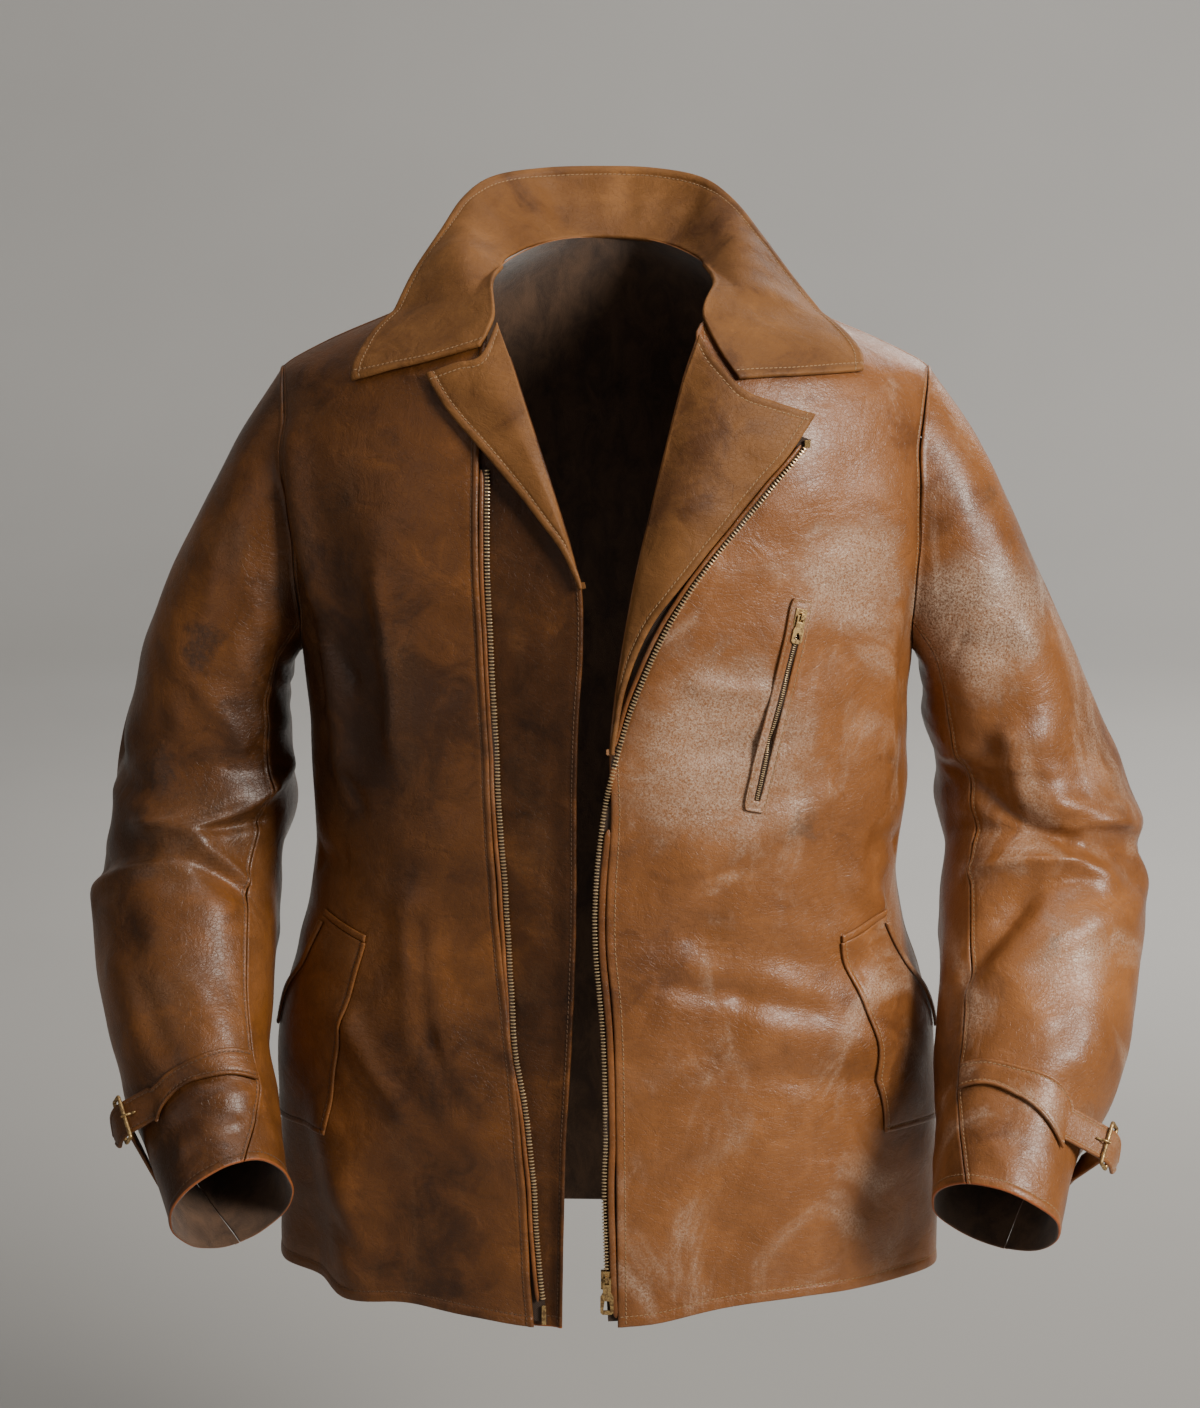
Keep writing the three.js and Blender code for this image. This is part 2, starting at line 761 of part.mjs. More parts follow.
/** One lapel as a wall of two layers of leather. */
function lapelPiece(side, lapel) {
  const face = lapelFace(side, lapel);
  return wall({
    face,
    normal: (u, v) => slopeNormal(face, THREE.MathUtils.clamp(u, 0.01, 0.99), v, 0.01, 0.02).multiplyScalar(side),
    us: steps(0, 1, 14),
    vs: [0, 0.12, 0.3, 0.5, 0.7, 0.86, 1],
    thickness: TURNED,
  });
}
add("lapel_left", lapelPiece(1, LAPEL_LEFT), "facing");
add("lapel_right", lapelPiece(-1, LAPEL_RIGHT), "facing");

/** Zip tape under the left lapel's outer edge, out to the teeth. */
function lapelTape() {
  const levels = steps(-107, -326, 12);
  const lift = LAPEL_LEFT.lift.at(-1)[1] - TURNED - 2 * LAYER;
  const across = ([x, z]) => new THREE.Vector2(x, z);
  const face = (u, level) => {
    const a = across([teethLeft(level + 2), level + 2]);
    const b = across([teethLeft(level - 2), level - 2]);
    const along = b.sub(a).normalize();
    const inward = new THREE.Vector2(along.y, -along.x);
    const tuck = 3 + TAPE_TUCK * step(level, -318, -240);
    const offset = mix(-TAPE_PAST_TEETH, tuck, u);
    return onFront(teethLeft(level) + inward.x * offset, level + inward.y * offset, lift);
  };
  return wall({
    face,
    normal: (u, level) => slopeNormal(face, u, level, 0.05, 1).multiplyScalar(-1),
    us: steps(0, 1, 2),
    vs: levels,
    thickness: TAPE,
  });
}
add("zip_tape_lapel", lapelTape(), "tape");

/** Collar face: t along it, w from the neck seam to the outer edge. */
function collarFace(t, w) {
  const row = curve(COLLAR, t);
  const line = [
    [0, ...row.slice(0, 3)],
    [COLLAR_ROLL, ...row.slice(3, 6)],
    [1, ...row.slice(6, 9)],
  ];
  const point = new THREE.Vector3(...curve(line, w));
  const front = step(Math.abs(t), COLLAR_FRONT.from, COLLAR_FRONT.to);
  return front > 0 ? liftOff(point, COLLAR_LIFT * front) : point;
}
add(
  "collar",
  wall({
    face: collarFace,
    normal: (t, w) => slopeNormal(collarFace, THREE.MathUtils.clamp(t, -0.99, 0.99), w, 0.01, 0.02),
    us: [...steps(-1, -0.88, 3), ...steps(-0.8, 0.8, 20), ...steps(0.88, 1, 3)],
    vs: [0, 0.14, 0.28, COLLAR_ROLL, 0.58, 0.76, 0.9, 1],
    thickness: TURNED,
  }),
  "facing",
);

/** Centre, half width and depth direction of a sleeve's ring. */
function sleeveRing(sleeve, t) {
  const [ox, oz, ix, iz, y, depth] = curve(sleeve.stations, t);
  const outer = new THREE.Vector3(ox, y, oz);
  const inner = new THREE.Vector3(ix, y, iz);
  const centre = outer.clone().add(inner).multiplyScalar(0.5);
  const half = outer.sub(inner).multiplyScalar(0.5);
  return { centre, half, depth };
}

/** Sleeve face: t in stations down the arm, turn in degrees, 0 outside and 90 in front. */
function sleeveFace(sleeve, name, t, turn) {
  const { centre, half, depth } = sleeveRing(sleeve, t);
  const ahead = sleeveRing(sleeve, Math.min(t + 0.25, LAST_STATION)).centre;
  const behind = sleeveRing(sleeve, Math.max(t - 0.25, 0)).centre;
  const forward = ahead.sub(behind).cross(half).normalize().multiplyScalar(sleeve.side);
  const c = Math.cos(degrees(turn));
  const s = Math.sin(degrees(turn));
  const point = centre
    .clone()
    .addScaledVector(half, power(c, SLEEVE_SQUARE))
    .addScaledVector(forward, depth * power(s, SLEEVE_SQUARE));
  const turned = ((turn % 360) + 360) % 360;
  const fold = foldHeight(SLEEVE_FOLDS[name], t, turned, STATION, degrees(SLEEVE_RADIUS));
  point.addScaledVector(point.clone().sub(centre).normalize(), fold);
  if (t < 1) {
    const bend = degrees(turned > 180 ? 360 - turned : turned);
    const edge = armholePoint(bend, sleeve.side, turned > 180);
    const seam = skin(edge.angle, edge.level);
    seam.x += sleeve.side * ARMHOLE.clear;
    point.lerp(seam, 1 - step(t, 0, 1));
  }
  return point;
}

/** One piece of a two-piece sleeve, between two turns in degrees. */
function sleevePiece(name, from, to, columns) {
  const sleeve = SLEEVES[name];
  const face = (turn, t) => sleeveFace(sleeve, name, t, turn);
  return wall({
    face,
    normal: (turn, t) => {
      if (t === 0) {
        const seam = face(turn, 0);
        return new THREE.Vector3(0, seam.y, seam.z - ARMHOLE.height).normalize();
      }
      return slopeNormal(face, turn, Math.min(t, LAST_STATION - 0.05), 2, 0.05).multiplyScalar(sleeve.side);
    },
    us: steps(from + SEAM_MARGIN, to - SEAM_MARGIN, columns),
    vs: steps(0, LAST_STATION, 2 * LAST_STATION),
    thickness: SHELL,
  });
}
for (const name of ["left", "right"]) {
  const look = name === "left" ? "tan" : "brown";
  add(`sleeve_${name}_top`, sleevePiece(name, SEAM_BACK, SEAM_FRONT, 11), look);
  add(`sleeve_${name}_under`, sleevePiece(name, SEAM_FRONT, SEAM_BACK + 360, 8), look);
}

/** Point over the side of the body, at degrees in front of the side seam. */
function onSide(side, turn, level, lift) {
  const angle = side > 0 ? -degrees(turn) : degrees(turn) - Math.PI;
  return skin(angle, level).addScaledVector(skinNormal(angle, level), lift);
}

const PATCH_LIFT = PATCH + LAYER + 0.1;
const POCKET_LIFT = { left: PATCH_LIFT, right: PATCH + GAP + 0.2 };
const MM_PER_DEGREE = 3.6;

/** Piece of a hand pocket: place(u, v) gives degrees and level. */
function pocketPiece(side, place, lift, us, vs) {
  const face = (u, v) => {
    const [turn, level] = place(u, v);
    return onSide(side, turn, level, lift);
  };
  return wall({
    face,
    normal: (u, v) => slopeNormal(face, u, v, 0.01, 0.01).multiplyScalar(side),
    us,
    vs,
    thickness: PATCH,
  });
}
for (const [name, side, look] of [["left", 1, "tan"], ["right", -1, "brown"]]) {
  const between = (u, v) => {
    const inner = curve(POCKET.inner, v);
    const outer = curve(POCKET.outer, v);
    return [mix(inner[0], outer[0], u), mix(inner[1], outer[1], u)];
  };
  add(`hand_pocket_${name}`, pocketPiece(side, between, POCKET_LIFT[name], steps(0, 1, 4), steps(0, 1, 8)), look);
  const welt = (u, v) => {
    const [turn, level] = curve(POCKET.outer, mix(0.03, 0.6, v));
    return [turn + ((1 - u) * POCKET.welt) / MM_PER_DEGREE, level];
  };
  add(`hand_pocket_${name}_welt`, pocketPiece(side, welt, 2 * POCKET_LIFT[name], steps(0, 1, 2), steps(0, 1, 7)), look);
  const bar = (u, v) => {
    const [turn, level] = between(mix(0.02, 0.98, u), 0);
    return [turn, level + GAP + POCKET.bar * (1 - v)];
  };
  add(`hand_pocket_${name}_bar`, pocketPiece(side, bar, POCKET_LIFT[name], steps(0, 1, 4), steps(0, 1, 1)), look);
}

/** Point over the chest pocket: along its length in mm from the top, across it in mm. */
function onChest(along, across, lift) {
  const [x0, z0] = CHEST.top;
  const [x1, z1] = CHEST.bottom;
  const length = Math.hypot(x1 - x0, z1 - z0);
  const ax = (x1 - x0) / length;
  const az = (z1 - z0) / length;
  return onFront(x0 + ax * along - az * across, z0 + az * along + ax * across, lift);
}
const CHEST_LENGTH = Math.hypot(CHEST.top[0] - CHEST.bottom[0], CHEST.top[1] - CHEST.bottom[1]);

/** The chest pocket's frame, a loop of leather round its zip. */
function chestFrame() {
  const { half, corner } = CHEST;
  const loop = [];
  for (const along of steps(corner, CHEST_LENGTH - corner, 8)) {
    loop.push([along, half, along, CHEST.slot]);
  }
  loop[0] = [corner, half, half, CHEST.slot];
  loop[8] = [CHEST_LENGTH - corner, half, CHEST_LENGTH - half, CHEST.slot];
  loop.push([CHEST_LENGTH, half - corner, CHEST_LENGTH - half + 1, CHEST.slot - 1]);
  loop.push([CHEST_LENGTH, corner - half, CHEST_LENGTH - half + 1, 1 - CHEST.slot]);
  for (const along of steps(CHEST_LENGTH - corner, corner, 8)) {
    loop.push([along, -half, along, -CHEST.slot]);
  }
  loop[11] = [CHEST_LENGTH - corner, -half, CHEST_LENGTH - half, -CHEST.slot];
  loop[19] = [corner, -half, half, -CHEST.slot];
  loop.push([0, corner - half, half - 1, 1 - CHEST.slot]);
  loop.push([0, half - corner, half - 1, CHEST.slot - 1]);
  const at = (i, v) => {
    const [a0, c0, a1, c1] = loop[i];
    return [mix(a0, a1, v), mix(c0, c1, v)];
  };
  const normalAt = (along, across) =>
    slopeNormal((a, c) => onChest(a, c, 0), along, across, 1, 1);
  return wall({
    face: (i, v) => onChest(...at(i, v), PATCH_LIFT),
    normal: (i, v) => normalAt(...at(i, v)),
    us: loop.map((_, i) => i),
    vs: [0, 1],
    thickness: PATCH,
    loop: true,
  });
}
add("chest_pocket_frame", chestFrame(), "tan");
add(
  "chest_zip_tape",
  wall({
    face: (u, along) => onChest(along, u, LAYER + 0.7),
    normal: (u, along) => slopeNormal((a, c) => onChest(a, c, 0), along, u, 1, 1),
    us: [-1.8, 1.8],
    vs: steps(CHEST.half + 0.5, CHEST_LENGTH - CHEST.half - 0.5, 8),
    thickness: 0.6,
  }),
  "tape",
);

/** Cuff strap point: s from 0 at the seam to 1 where it leaves the sleeve, v from -1 to 1 across. */
function strapFace(name) {
  const sleeve = SLEEVES[name];
  const half = CUFF.width / 2;
  const onSleeve = (s, v) => {
    const [t, turn] = curve(CUFF.paths[name], s);
    const at = t + (v * half) / CUFF.stationLength;
    const face = (a, b) => sleeveFace(sleeve, name, b, a);
    const normal = slopeNormal(face, turn, at, 2, 0.05).multiplyScalar(sleeve.side);
    return face(turn, at).addScaledVector(normal, STRAP_LIFT);
  };
  const end = onSleeve(1, 0);
  const facing = ([x, y, z]) => new THREE.Vector3(x * sleeve.side, y, z).normalize();
  const tangent = facing(CUFF.away);
  const fall = facing(CUFF.fall);
  const across = onSleeve(1, 1).sub(onSleeve(1, -1)).projectOnPlane(tangent).normalize();
  const outward = tangent.clone().cross(across).normalize().multiplyScalar(-sleeve.side);
  return { onSleeve, end, tangent, across, outward, fall, buckleAt: CUFF.buckleAt[name] };
}

/** Centre of the strap's free end, a distance in mm past the sleeve. */
function strapTail(strap, distance) {
  const straight = Math.min(distance, strap.buckleAt + CUFF.knee);
  const rest = distance - straight;
  return strap.end.clone().addScaledVector(strap.tangent, straight).addScaledVector(strap.fall, rest);
}

/** The whole cuff strap: over the sleeve, through the buckle, to its pointed tip. */
function cuffStrap(name) {
  const strap = strapFace(name);
  const half = CUFF.width / 2;
  const stationsOn = steps(0, 1, 9);
  const free = strap.buckleAt + CUFF.tail;
  const stationsOff = [10, 20, strap.buckleAt, strap.buckleAt + 7, strap.buckleAt + 11, free - 8, free];
  const vs = [...stationsOn, ...stationsOff.map((d) => 1 + d)];
  const face = (v, s) => {
    if (s <= 1) {
      return strap.onSleeve(s, v);
    }
    const distance = s - 1;
    const taper = 1 - 0.55 * step(distance, free - 9, free + 2);
    return strapTail(strap, distance).addScaledVector(strap.across, v * half * taper);
  };
  const sleeve = SLEEVES[name];
  const normal = (v, s) => {
    if (s > 1) {
      const bent = step(s - 1, strap.buckleAt + 6, strap.buckleAt + 12);
      const along = strap.tangent.clone().lerp(strap.fall, bent).normalize();
      return along.cross(strap.across).normalize().multiplyScalar(-sleeve.side);
    }
    const at = THREE.MathUtils.clamp(s, 0.02, 0.98);
    return slopeNormal((a, b) => strap.onSleeve(b, a), v, at, 0.05, 0.02).multiplyScalar(sleeve.side);
  };
  return wall({ face, normal, us: [-1, 0, 1], vs, thickness: STRAP });
}

/** A rod with round section along a closed or open run of points, as one body. */
function rod(points, radius, closed) {
  const path = new THREE.CatmullRomCurve3(points, closed, "catmullrom", 0.2);
  const shape = new THREE.Shape().absarc(0, 0, radius, 0, 2 * Math.PI);
  const geometry = new THREE.ExtrudeGeometry(shape, {
    extrudePath: path,
    steps: closed ? 24 : 6,
    curveSegments: 4,
  });
  geometry.deleteAttribute("normal");
  geometry.deleteAttribute("uv");
  return mergeVertices(geometry, 1e-3);
}

/** Buckle: a rectangular frame, tilted so that the strap passes under one bar and over the other. */
function buckle(name) {
  const strap = strapFace(name);
  const at = strapTail(strap, strap.buckleAt).addScaledVector(strap.outward, -STRAP / 2);
  const wire = 1.4;
  const half = CUFF.width / 2 + wire + 1.4;
  const reach = 8;
  const rise = STRAP / 2 + wire + 2 * GAP;
  const corner = (along, across, up) =>
    at
      .clone()
      .addScaledVector(strap.tangent, along)
      .addScaledVector(strap.across, across)
      .addScaledVector(strap.outward, up);
  const near = -1;
  const points = [
    corner(near, -half, rise),
    corner(near, 0, rise),
    corner(near, half, rise),
    corner(near + reach / 2, half + 0.4, 0),
    corner(near + reach, half, -rise),
    corner(near + reach, 0, -rise),
    corner(near + reach, -half, -rise),
    corner(near + reach / 2, -half - 0.4, 0),
  ];
  add(`cuff_buckle_${name}`, rod(points, wire, true), "brass");
  const top = STRAP / 2 + 0.9 + GAP;
  const prong = [
    corner(near - 9, 0, top),
    corner(near - 5.5, 0, top + 0.4),
    corner(near - 2.6, 0, rise + wire + 0.6),
    corner(near + 1, 0, rise + wire + 0.9 + GAP),
  ];
  add(`cuff_prong_${name}`, rod(prong, 0.9, false), "brass");
}

/** Short tab on the back of the sleeve that holds the buckle's far bar. */
function buckleTab(name) {
  const sleeve = SLEEVES[name];
  const strap = strapFace(name);
  const bar = strapTail(strap, strap.buckleAt + 7).addScaledVector(strap.outward, -TAB.under);
  const face = (a, b) => sleeveFace(sleeve, name, b, a);
  const seat = (turn, v) => {
    const at = TAB.station + (v * TAB.half) / STATION;
    const normal = slopeNormal(face, turn, at, 2, 0.05).multiplyScalar(sleeve.side);
    return face(turn, at).addScaledVector(normal, STRAP_LIFT);
  };
  const point = (v, s) => {
    const root = seat(mix(TAB.from, TAB.to, Math.min(s, 1)), v);
    const end = bar.clone().addScaledVector(strap.across, v * TAB.half);
    return s <= 1 ? root : root.lerp(end, s - 1);
  };
  return wall({
    face: point,
    normal: (v, s) => slopeNormal(point, v, s, 0.05, 0.03).multiplyScalar(-sleeve.side),
    us: [-1, 0, 1],
    vs: [0, 0.25, 0.5, 0.75, 1, 1.33, 1.66, 2],
    thickness: STRAP,
  });
}
for (const name of ["left", "right"]) {
  const look = name === "left" ? "tan" : "brown";
  add(`cuff_strap_${name}`, cuffStrap(name), look);
  add(`cuff_tab_${name}`, buckleTab(name), look);
  buckle(name);
}

/** Solid for joining and cutting, from a geometry with only its positions. */
function toSolid(geometry) {
  const plain = geometry.clone();
  for (const name of ["normal", "uv"]) {
    plain.deleteAttribute(name);
  }
  const merged = mergeVertices(plain, 1e-4);
  const mesh = new wasm.Mesh({
    numProp: 3,
    vertProperties: new Float32Array(merged.attributes.position.array),
    triVerts: new Uint32Array(merged.index.array),
  });
  return new wasm.Manifold(mesh);
}

/** Geometry of a joined or cut solid. */
function fromSolid(body) {
  const mesh = body.getMesh();
  const geometry = new THREE.BufferGeometry();
  geometry.setAttribute("position", new THREE.Float32BufferAttribute(mesh.vertProperties, 3));
  geometry.setIndex(Array.from(mesh.triVerts));
  return geometry;
}

/** Box from its lowest to its highest corner. */
function block(low, high) {
  const size = high.map((value, k) => value - low[k]);
  const geometry = new THREE.BoxGeometry(...size);
  return geometry.translate(...low.map((value, k) => value + size[k] / 2));
}

/**
 * Slider in its own frame: x across the zip, y out of the coat (minus is out), z along the zip.
 * The pull's pin lies on the x axis at the frame's origin, under a bridge on the front plate.
 */
const SLIDER = { half: 4.2, plate: 1.2, top: 5, bottom: -8, clear: 1.35, wall: 0.9, bridge: 1.1, inset: 0.4 };

/** Slider body: a front plate, a bridge for the pull, and with a channel a back plate too. */
function sliderBody(channel) {
  const { half, plate, top, bottom, clear, wall: thick, bridge, inset } = SLIDER;
  let body = toSolid(block([-half, clear, bottom], [half, clear + plate, top]));
  const reach = clear + thick;
  const arch = toSolid(block([-bridge, -reach, -reach], [bridge, clear + 0.5, reach]));
  const eye = toSolid(block([-bridge - 1, -clear, -clear], [bridge + 1, clear, clear]));
  body = body.add(arch).subtract(eye);
  if (channel > 0) {
    const far = clear + plate + channel;
    const web = toSolid(block([inset - half, clear + inset, bottom + inset], [1.5 - half, far + plate / 2, top - inset]));
    const back = toSolid(block([-half, far, bottom], [half, far + plate, top]));
    body = body.add(web).add(back);
  }
  return fromSolid(body);
}

/** Pull tab hanging from its pin: a neck, a plate and a hole in it. */
function pullTab({ length, half, hole }) {
  const neck = 2.9;
  const pin = 0.65;
  const shape = new THREE.Shape();
  shape.moveTo(-neck, pin);
  shape.lineTo(neck, pin);
  shape.lineTo(neck, -length * 0.38);
  shape.lineTo(half, -length * 0.5);
  shape.lineTo(half, -length + 1.5);
  shape.lineTo(half - 1.5, -length);
  shape.lineTo(1.5 - half, -length);
  shape.lineTo(-half, -length + 1.5);
  shape.lineTo(-half, -length * 0.5);
  shape.lineTo(-neck, -length * 0.38);
  shape.closePath();
  const slot = new THREE.Path();
  const inner = SLIDER.bridge + 0.4;
  slot.moveTo(-inner, -pin);
  slot.lineTo(-inner, -4);
  slot.lineTo(inner, -4);
  slot.lineTo(inner, -pin);
  slot.closePath();
  const window = new THREE.Path();
  const [high, low, wide, narrow] = hole;
  window.moveTo(-narrow, high);
  window.lineTo(-wide, low);
  window.lineTo(wide, low);
  window.lineTo(narrow, high);
  window.closePath();
  shape.holes.push(slot, window);
  const geometry = new THREE.ExtrudeGeometry(shape, { depth: 2 * pin, bevelEnabled: false });
  geometry.rotateX(Math.PI / 2);
  geometry.translate(0, pin, 0);
  geometry.deleteAttribute("normal");
  geometry.deleteAttribute("uv");
  return mergeVertices(geometry, 1e-3);
}

const MAIN_LEVEL = -690;
const mainSlider = new THREE.Group();
const mainSeat = onFront(teethLeft(MAIN_LEVEL), MAIN_LEVEL, TAPE_FACE);
const MAIN_CHANNEL = TAPE + 1.4;
mainSlider.position.set(mainSeat.x, mainSeat.y - SLIDER.clear - SLIDER.plate - 0.7, MAIN_LEVEL);
coat.add(mainSlider);
add("main_slider", sliderBody(MAIN_CHANNEL), "brass", mainSlider);
add("main_pull", pullTab({ length: 26, half: 4.6, hole: [-16, -23, 2.6, 1.6] }), "brass", mainSlider);

const CHEST_SLIDER_AT = 12;
const chestSlider = new THREE.Group();
const chestUp = onChest(CHEST_SLIDER_AT - 4, 0, 0).sub(onChest(CHEST_SLIDER_AT + 4, 0, 0)).normalize();
const chestOut = slopeNormal((a, c) => onChest(a, c, 0), CHEST_SLIDER_AT, 0, 1, 1);
const chestAcross = chestOut.clone().negate().cross(chestUp).normalize();
const chestIn = chestUp.clone().cross(chestAcross).normalize();
chestSlider.quaternion.setFromRotationMatrix(new THREE.Matrix4().makeBasis(chestAcross, chestIn, chestUp));
chestSlider.position.copy(
  onChest(CHEST_SLIDER_AT, 0, PATCH_LIFT + GAP + SLIDER.plate + SLIDER.clear),
);
coat.add(chestSlider);
add("chest_slider", sliderBody(0), "brass", chestSlider);
add("chest_pull", pullTab({ length: 19, half: 3.9, hole: [-11.5, -16, 2.2, 0.5] }), "brass", chestSlider);

/** Small brass block on a zip, at x and a level, lifted off the skin. */
function zipBlock(name, x, level, lift, size) {
  const group = new THREE.Group();
  group.position.copy(onFront(x, level, lift));
  const geometry = new THREE.BoxGeometry(...size);
  coat.add(group);
  add(name, geometry, "brass", group);
}
zipBlock("zip_stop_top", teethLeft(-109) - 1, -110, 5.3, [4, 2.4, 5]);
zipBlock("zip_pin_right", teethRight(HEM + 9) - 0.5, HEM + 9, TAPE_FACE + 1.4, [3, 1.6, 14]);

export default coat;
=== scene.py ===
"""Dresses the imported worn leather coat: fine leather panels, stitching, zip teeth and brass, on a pale floor.

Lengths are in millimetres and become metres where a mesh is made. +X is the wearer's left, -Y is the front
and +Z is up. Left and right are the wearer's.
"""

from __future__ import annotations

import logging
import math
from collections.abc import Callable, Sequence
from dataclasses import dataclass, field
from enum import Enum

import bmesh
import bpy
import numpy as np
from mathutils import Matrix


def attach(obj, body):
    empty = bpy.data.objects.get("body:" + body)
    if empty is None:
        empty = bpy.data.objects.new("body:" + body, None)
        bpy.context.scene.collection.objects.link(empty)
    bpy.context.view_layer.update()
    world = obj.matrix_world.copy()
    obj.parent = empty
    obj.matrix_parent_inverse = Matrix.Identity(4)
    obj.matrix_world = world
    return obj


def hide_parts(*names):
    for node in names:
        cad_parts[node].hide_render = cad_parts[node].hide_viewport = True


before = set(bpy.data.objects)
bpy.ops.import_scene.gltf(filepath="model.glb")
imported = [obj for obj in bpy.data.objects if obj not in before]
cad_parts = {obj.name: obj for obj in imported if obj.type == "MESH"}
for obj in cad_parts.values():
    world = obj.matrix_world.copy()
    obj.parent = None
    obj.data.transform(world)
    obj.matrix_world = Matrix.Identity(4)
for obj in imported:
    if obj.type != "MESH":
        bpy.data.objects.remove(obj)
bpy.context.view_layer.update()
LOG = logging.getLogger("coat")

MM = 0.001
BODY = "coat"
Array = np.ndarray
Colour = tuple[float, float, float]
PLAIN = 20.0
"""Distance in mm from an edge at which leather shows no wear of that edge."""

SHELL = 2.0
TURNED = 3.0
PATCH = 1.6
STRAP = 2.4
TAPE = 1.0
GAP = 0.3
LAYER = 0.8

STITCH_DIP = 0.45
"""Depth in mm that a row of stitches pulls the leather in, in a bell of the next width."""
STITCH_BELL = 1.1
PLAIN_ROLL = 3.5
"""Width in mm of the puff at an edge that has no stitches."""
SEWN_IN = 2.2
"""Distance in mm added at a seam, where the cut side of the leather is out of sight."""
ROUND_SHARE = 0.46
"""Largest share of the thickness that an edge is rounded by."""
EDGE_PLACES = (0.25, 0.7, 1.4, 2.4, 4.0, 5.2, 6.0, 6.8, 8.2)
"""Distances in mm from an edge at which a panel's grid has a place of its own."""

TRUNK_RINGS = (
    (-735, 236, 244, 144, 122, 2.25, 2.25, 0),
    (-620, 234, 240, 140, 114, 2.3, 2.3, 0),
    (-530, 232, 234, 137, 106, 2.35, 2.35, 0),
    (-440, 210, 210, 134, 102, 2.35, 2.35, 0),
    (-360, 209, 217, 134, 106, 2.35, 2.35, 0),
    (-265, 214, 218, 134, 114, 2.3, 2.3, 1),
    (-165, 236, 236, 130, 118, 2.2, 2.15, 3),
    (-110, 236, 236, 123, 114, 2.15, 1.9, 4),
    (-70, 226, 228, 114, 106, 2.1, 1.65, 6),
    (-52, 197, 197, 108, 100, 2.1, 1.55, 7),
    (-32, 150, 150, 100, 93, 2.1, 1.5, 8),
    (-14, 108, 108, 88, 84, 2.1, 1.45, 9),
    (0, 76, 76, 74, 74, 2.1, 1.45, 10),
    (8, 66, 66, 62, 66, 2.1, 1.45, 10),
)
HEM_LINE = (
    (-180, 10, 0), (-164, 9, 5), (-150, 8, -3), (-138, 1, 5), (-125, 4, -3), (-110, 0, 2), (-97, -7, 0),
    (-85, -4, 0), (-72, 7, 0), (-55, 11, 4), (-38, 8, -2), (-18, 5, 3), (0, -2, 0), (28, -6, -5), (50, -2, 4),
    (75, -4, -4), (100, -6, 4), (125, -3, -4), (150, 2, 3), (180, 10, 0),
)
EDGE_LEFT = (
    (-735, 12.5), (-632, 11.5), (-525, 10), (-489, 8), (-454, 4.5), (-419, 4.5), (-360, 7.5), (-330, 6.5),
    (-306, 7), (-265, 12), (-224, 19), (-184, 27), (-131, 40), (-79, 54), (-36, 66),
)
EDGE_RIGHT = (
    (-735, -27), (-604, -24), (-546, -21), (-489, -18), (-419, -16), (-348, -16), (-293, -14), (-245, -11),
    (-204, -12), (-184, -17), (-150, -27), (-111, -40), (-60, -57), (-28, -70),
)
ZIP_PANEL_RIGHT = (
    (-735, -45), (-681, -49), (-618, -52), (-561, -57), (-489, -65), (-418, -71), (-324, -76), (-182, -82),
    (-120, -82), (-28, -76),
)
TEETH_RIGHT = (
    (-735, -37), (-719, -38), (-660, -44), (-611, -46.5), (-564, -52), (-525, -59), (-418, -65), (-344, -70),
    (-203, -76), (-120, -77),
)
TEETH_LEFT = (
    (-720, 7), (-694, 5), (-659, 4), (-623, 3), (-587, 4), (-525, 2.5), (-489, 0), (-454, -3), (-419, -3),
    (-372, 1), (-341, 6), (-303, 17), (-272, 28), (-238, 42), (-205, 60), (-180, 79), (-143, 111),
    (-107, 141),
)
HEM = -720.0
ROLL_TOP = {1: -36.0, -1: -28.0}


def cubic(t: Array, ends: tuple[Array, Array], tilts: tuple[Array, Array]) -> Array:
    """Cubic from one end at t 0 to the other at t 1, with a slope at each: the sum of four Hermite weights.

    Args:
        t: Place from 0 to 1.
        ends: Both ends.
        tilts: The slope at each end, for one whole step of t.

    Returns:
        The value at t.
    """
    low = (2 * t**3 - 3 * t**2 + 1) * ends[0] + (t**3 - 2 * t**2 + t) * tilts[0]
    return low + (3 * t**2 - 2 * t**3) * ends[1] + (t**3 - t**2) * tilts[1]


def curve(rows: Sequence[Sequence[float]], at: Array | float) -> Array:
    """Smooth curve through rows of a place and its values: a cubic between rows, with central slopes.

    Args:
        rows: Rows of (place, value, ...), in any order.
        at: Places to read it at.

    Returns:
        The values, with one more axis than the places.
    """
    table = np.asarray(rows, float)
    table = table[np.argsort(table[:, 0])]
    xs, ys = table[:, 0], table[:, 1:]
    after = np.minimum(np.arange(len(xs)) + 1, len(xs) - 1)
    before = np.maximum(np.arange(len(xs)) - 1, 0)
    slope = (ys[after] - ys[before]) / (xs[after] - xs[before])[:, None]
    at = np.asarray(at, float)
    i = np.clip(np.searchsorted(xs, at, side="right") - 1, 0, len(xs) - 2)
    gap = (xs[i + 1] - xs[i])[..., None]
    t = np.clip((at - xs[i])[..., None] / gap, 0, 1)
    return cubic(t, (ys[i], ys[i + 1]), (gap * slope[i], gap * slope[i + 1]))


def line(rows: Sequence[Sequence[float]], at: Array | float) -> Array:
    """First value of the smooth curve through rows."""
    return curve(rows, at)[..., 0]


def step(value: Array | float, start: float, end: float) -> Array:
    """Smooth step from 0 at start to 1 at end."""
    t = np.clip((np.asarray(value, float) - start) / (end - start), 0, 1)
    return t * t * (3 - 2 * t)


def mix(a: Array | float, b: Array | float, t: Array | float) -> Array:
    """Straight blend from a to b."""
    return a + (np.asarray(b) - a) * t


def power(value: Array, squareness: Array | float) -> Array:
    """Signed value to the power 2 / squareness, the form of a superellipse."""
    return np.sign(value) * np.abs(value) ** (2 / squareness)


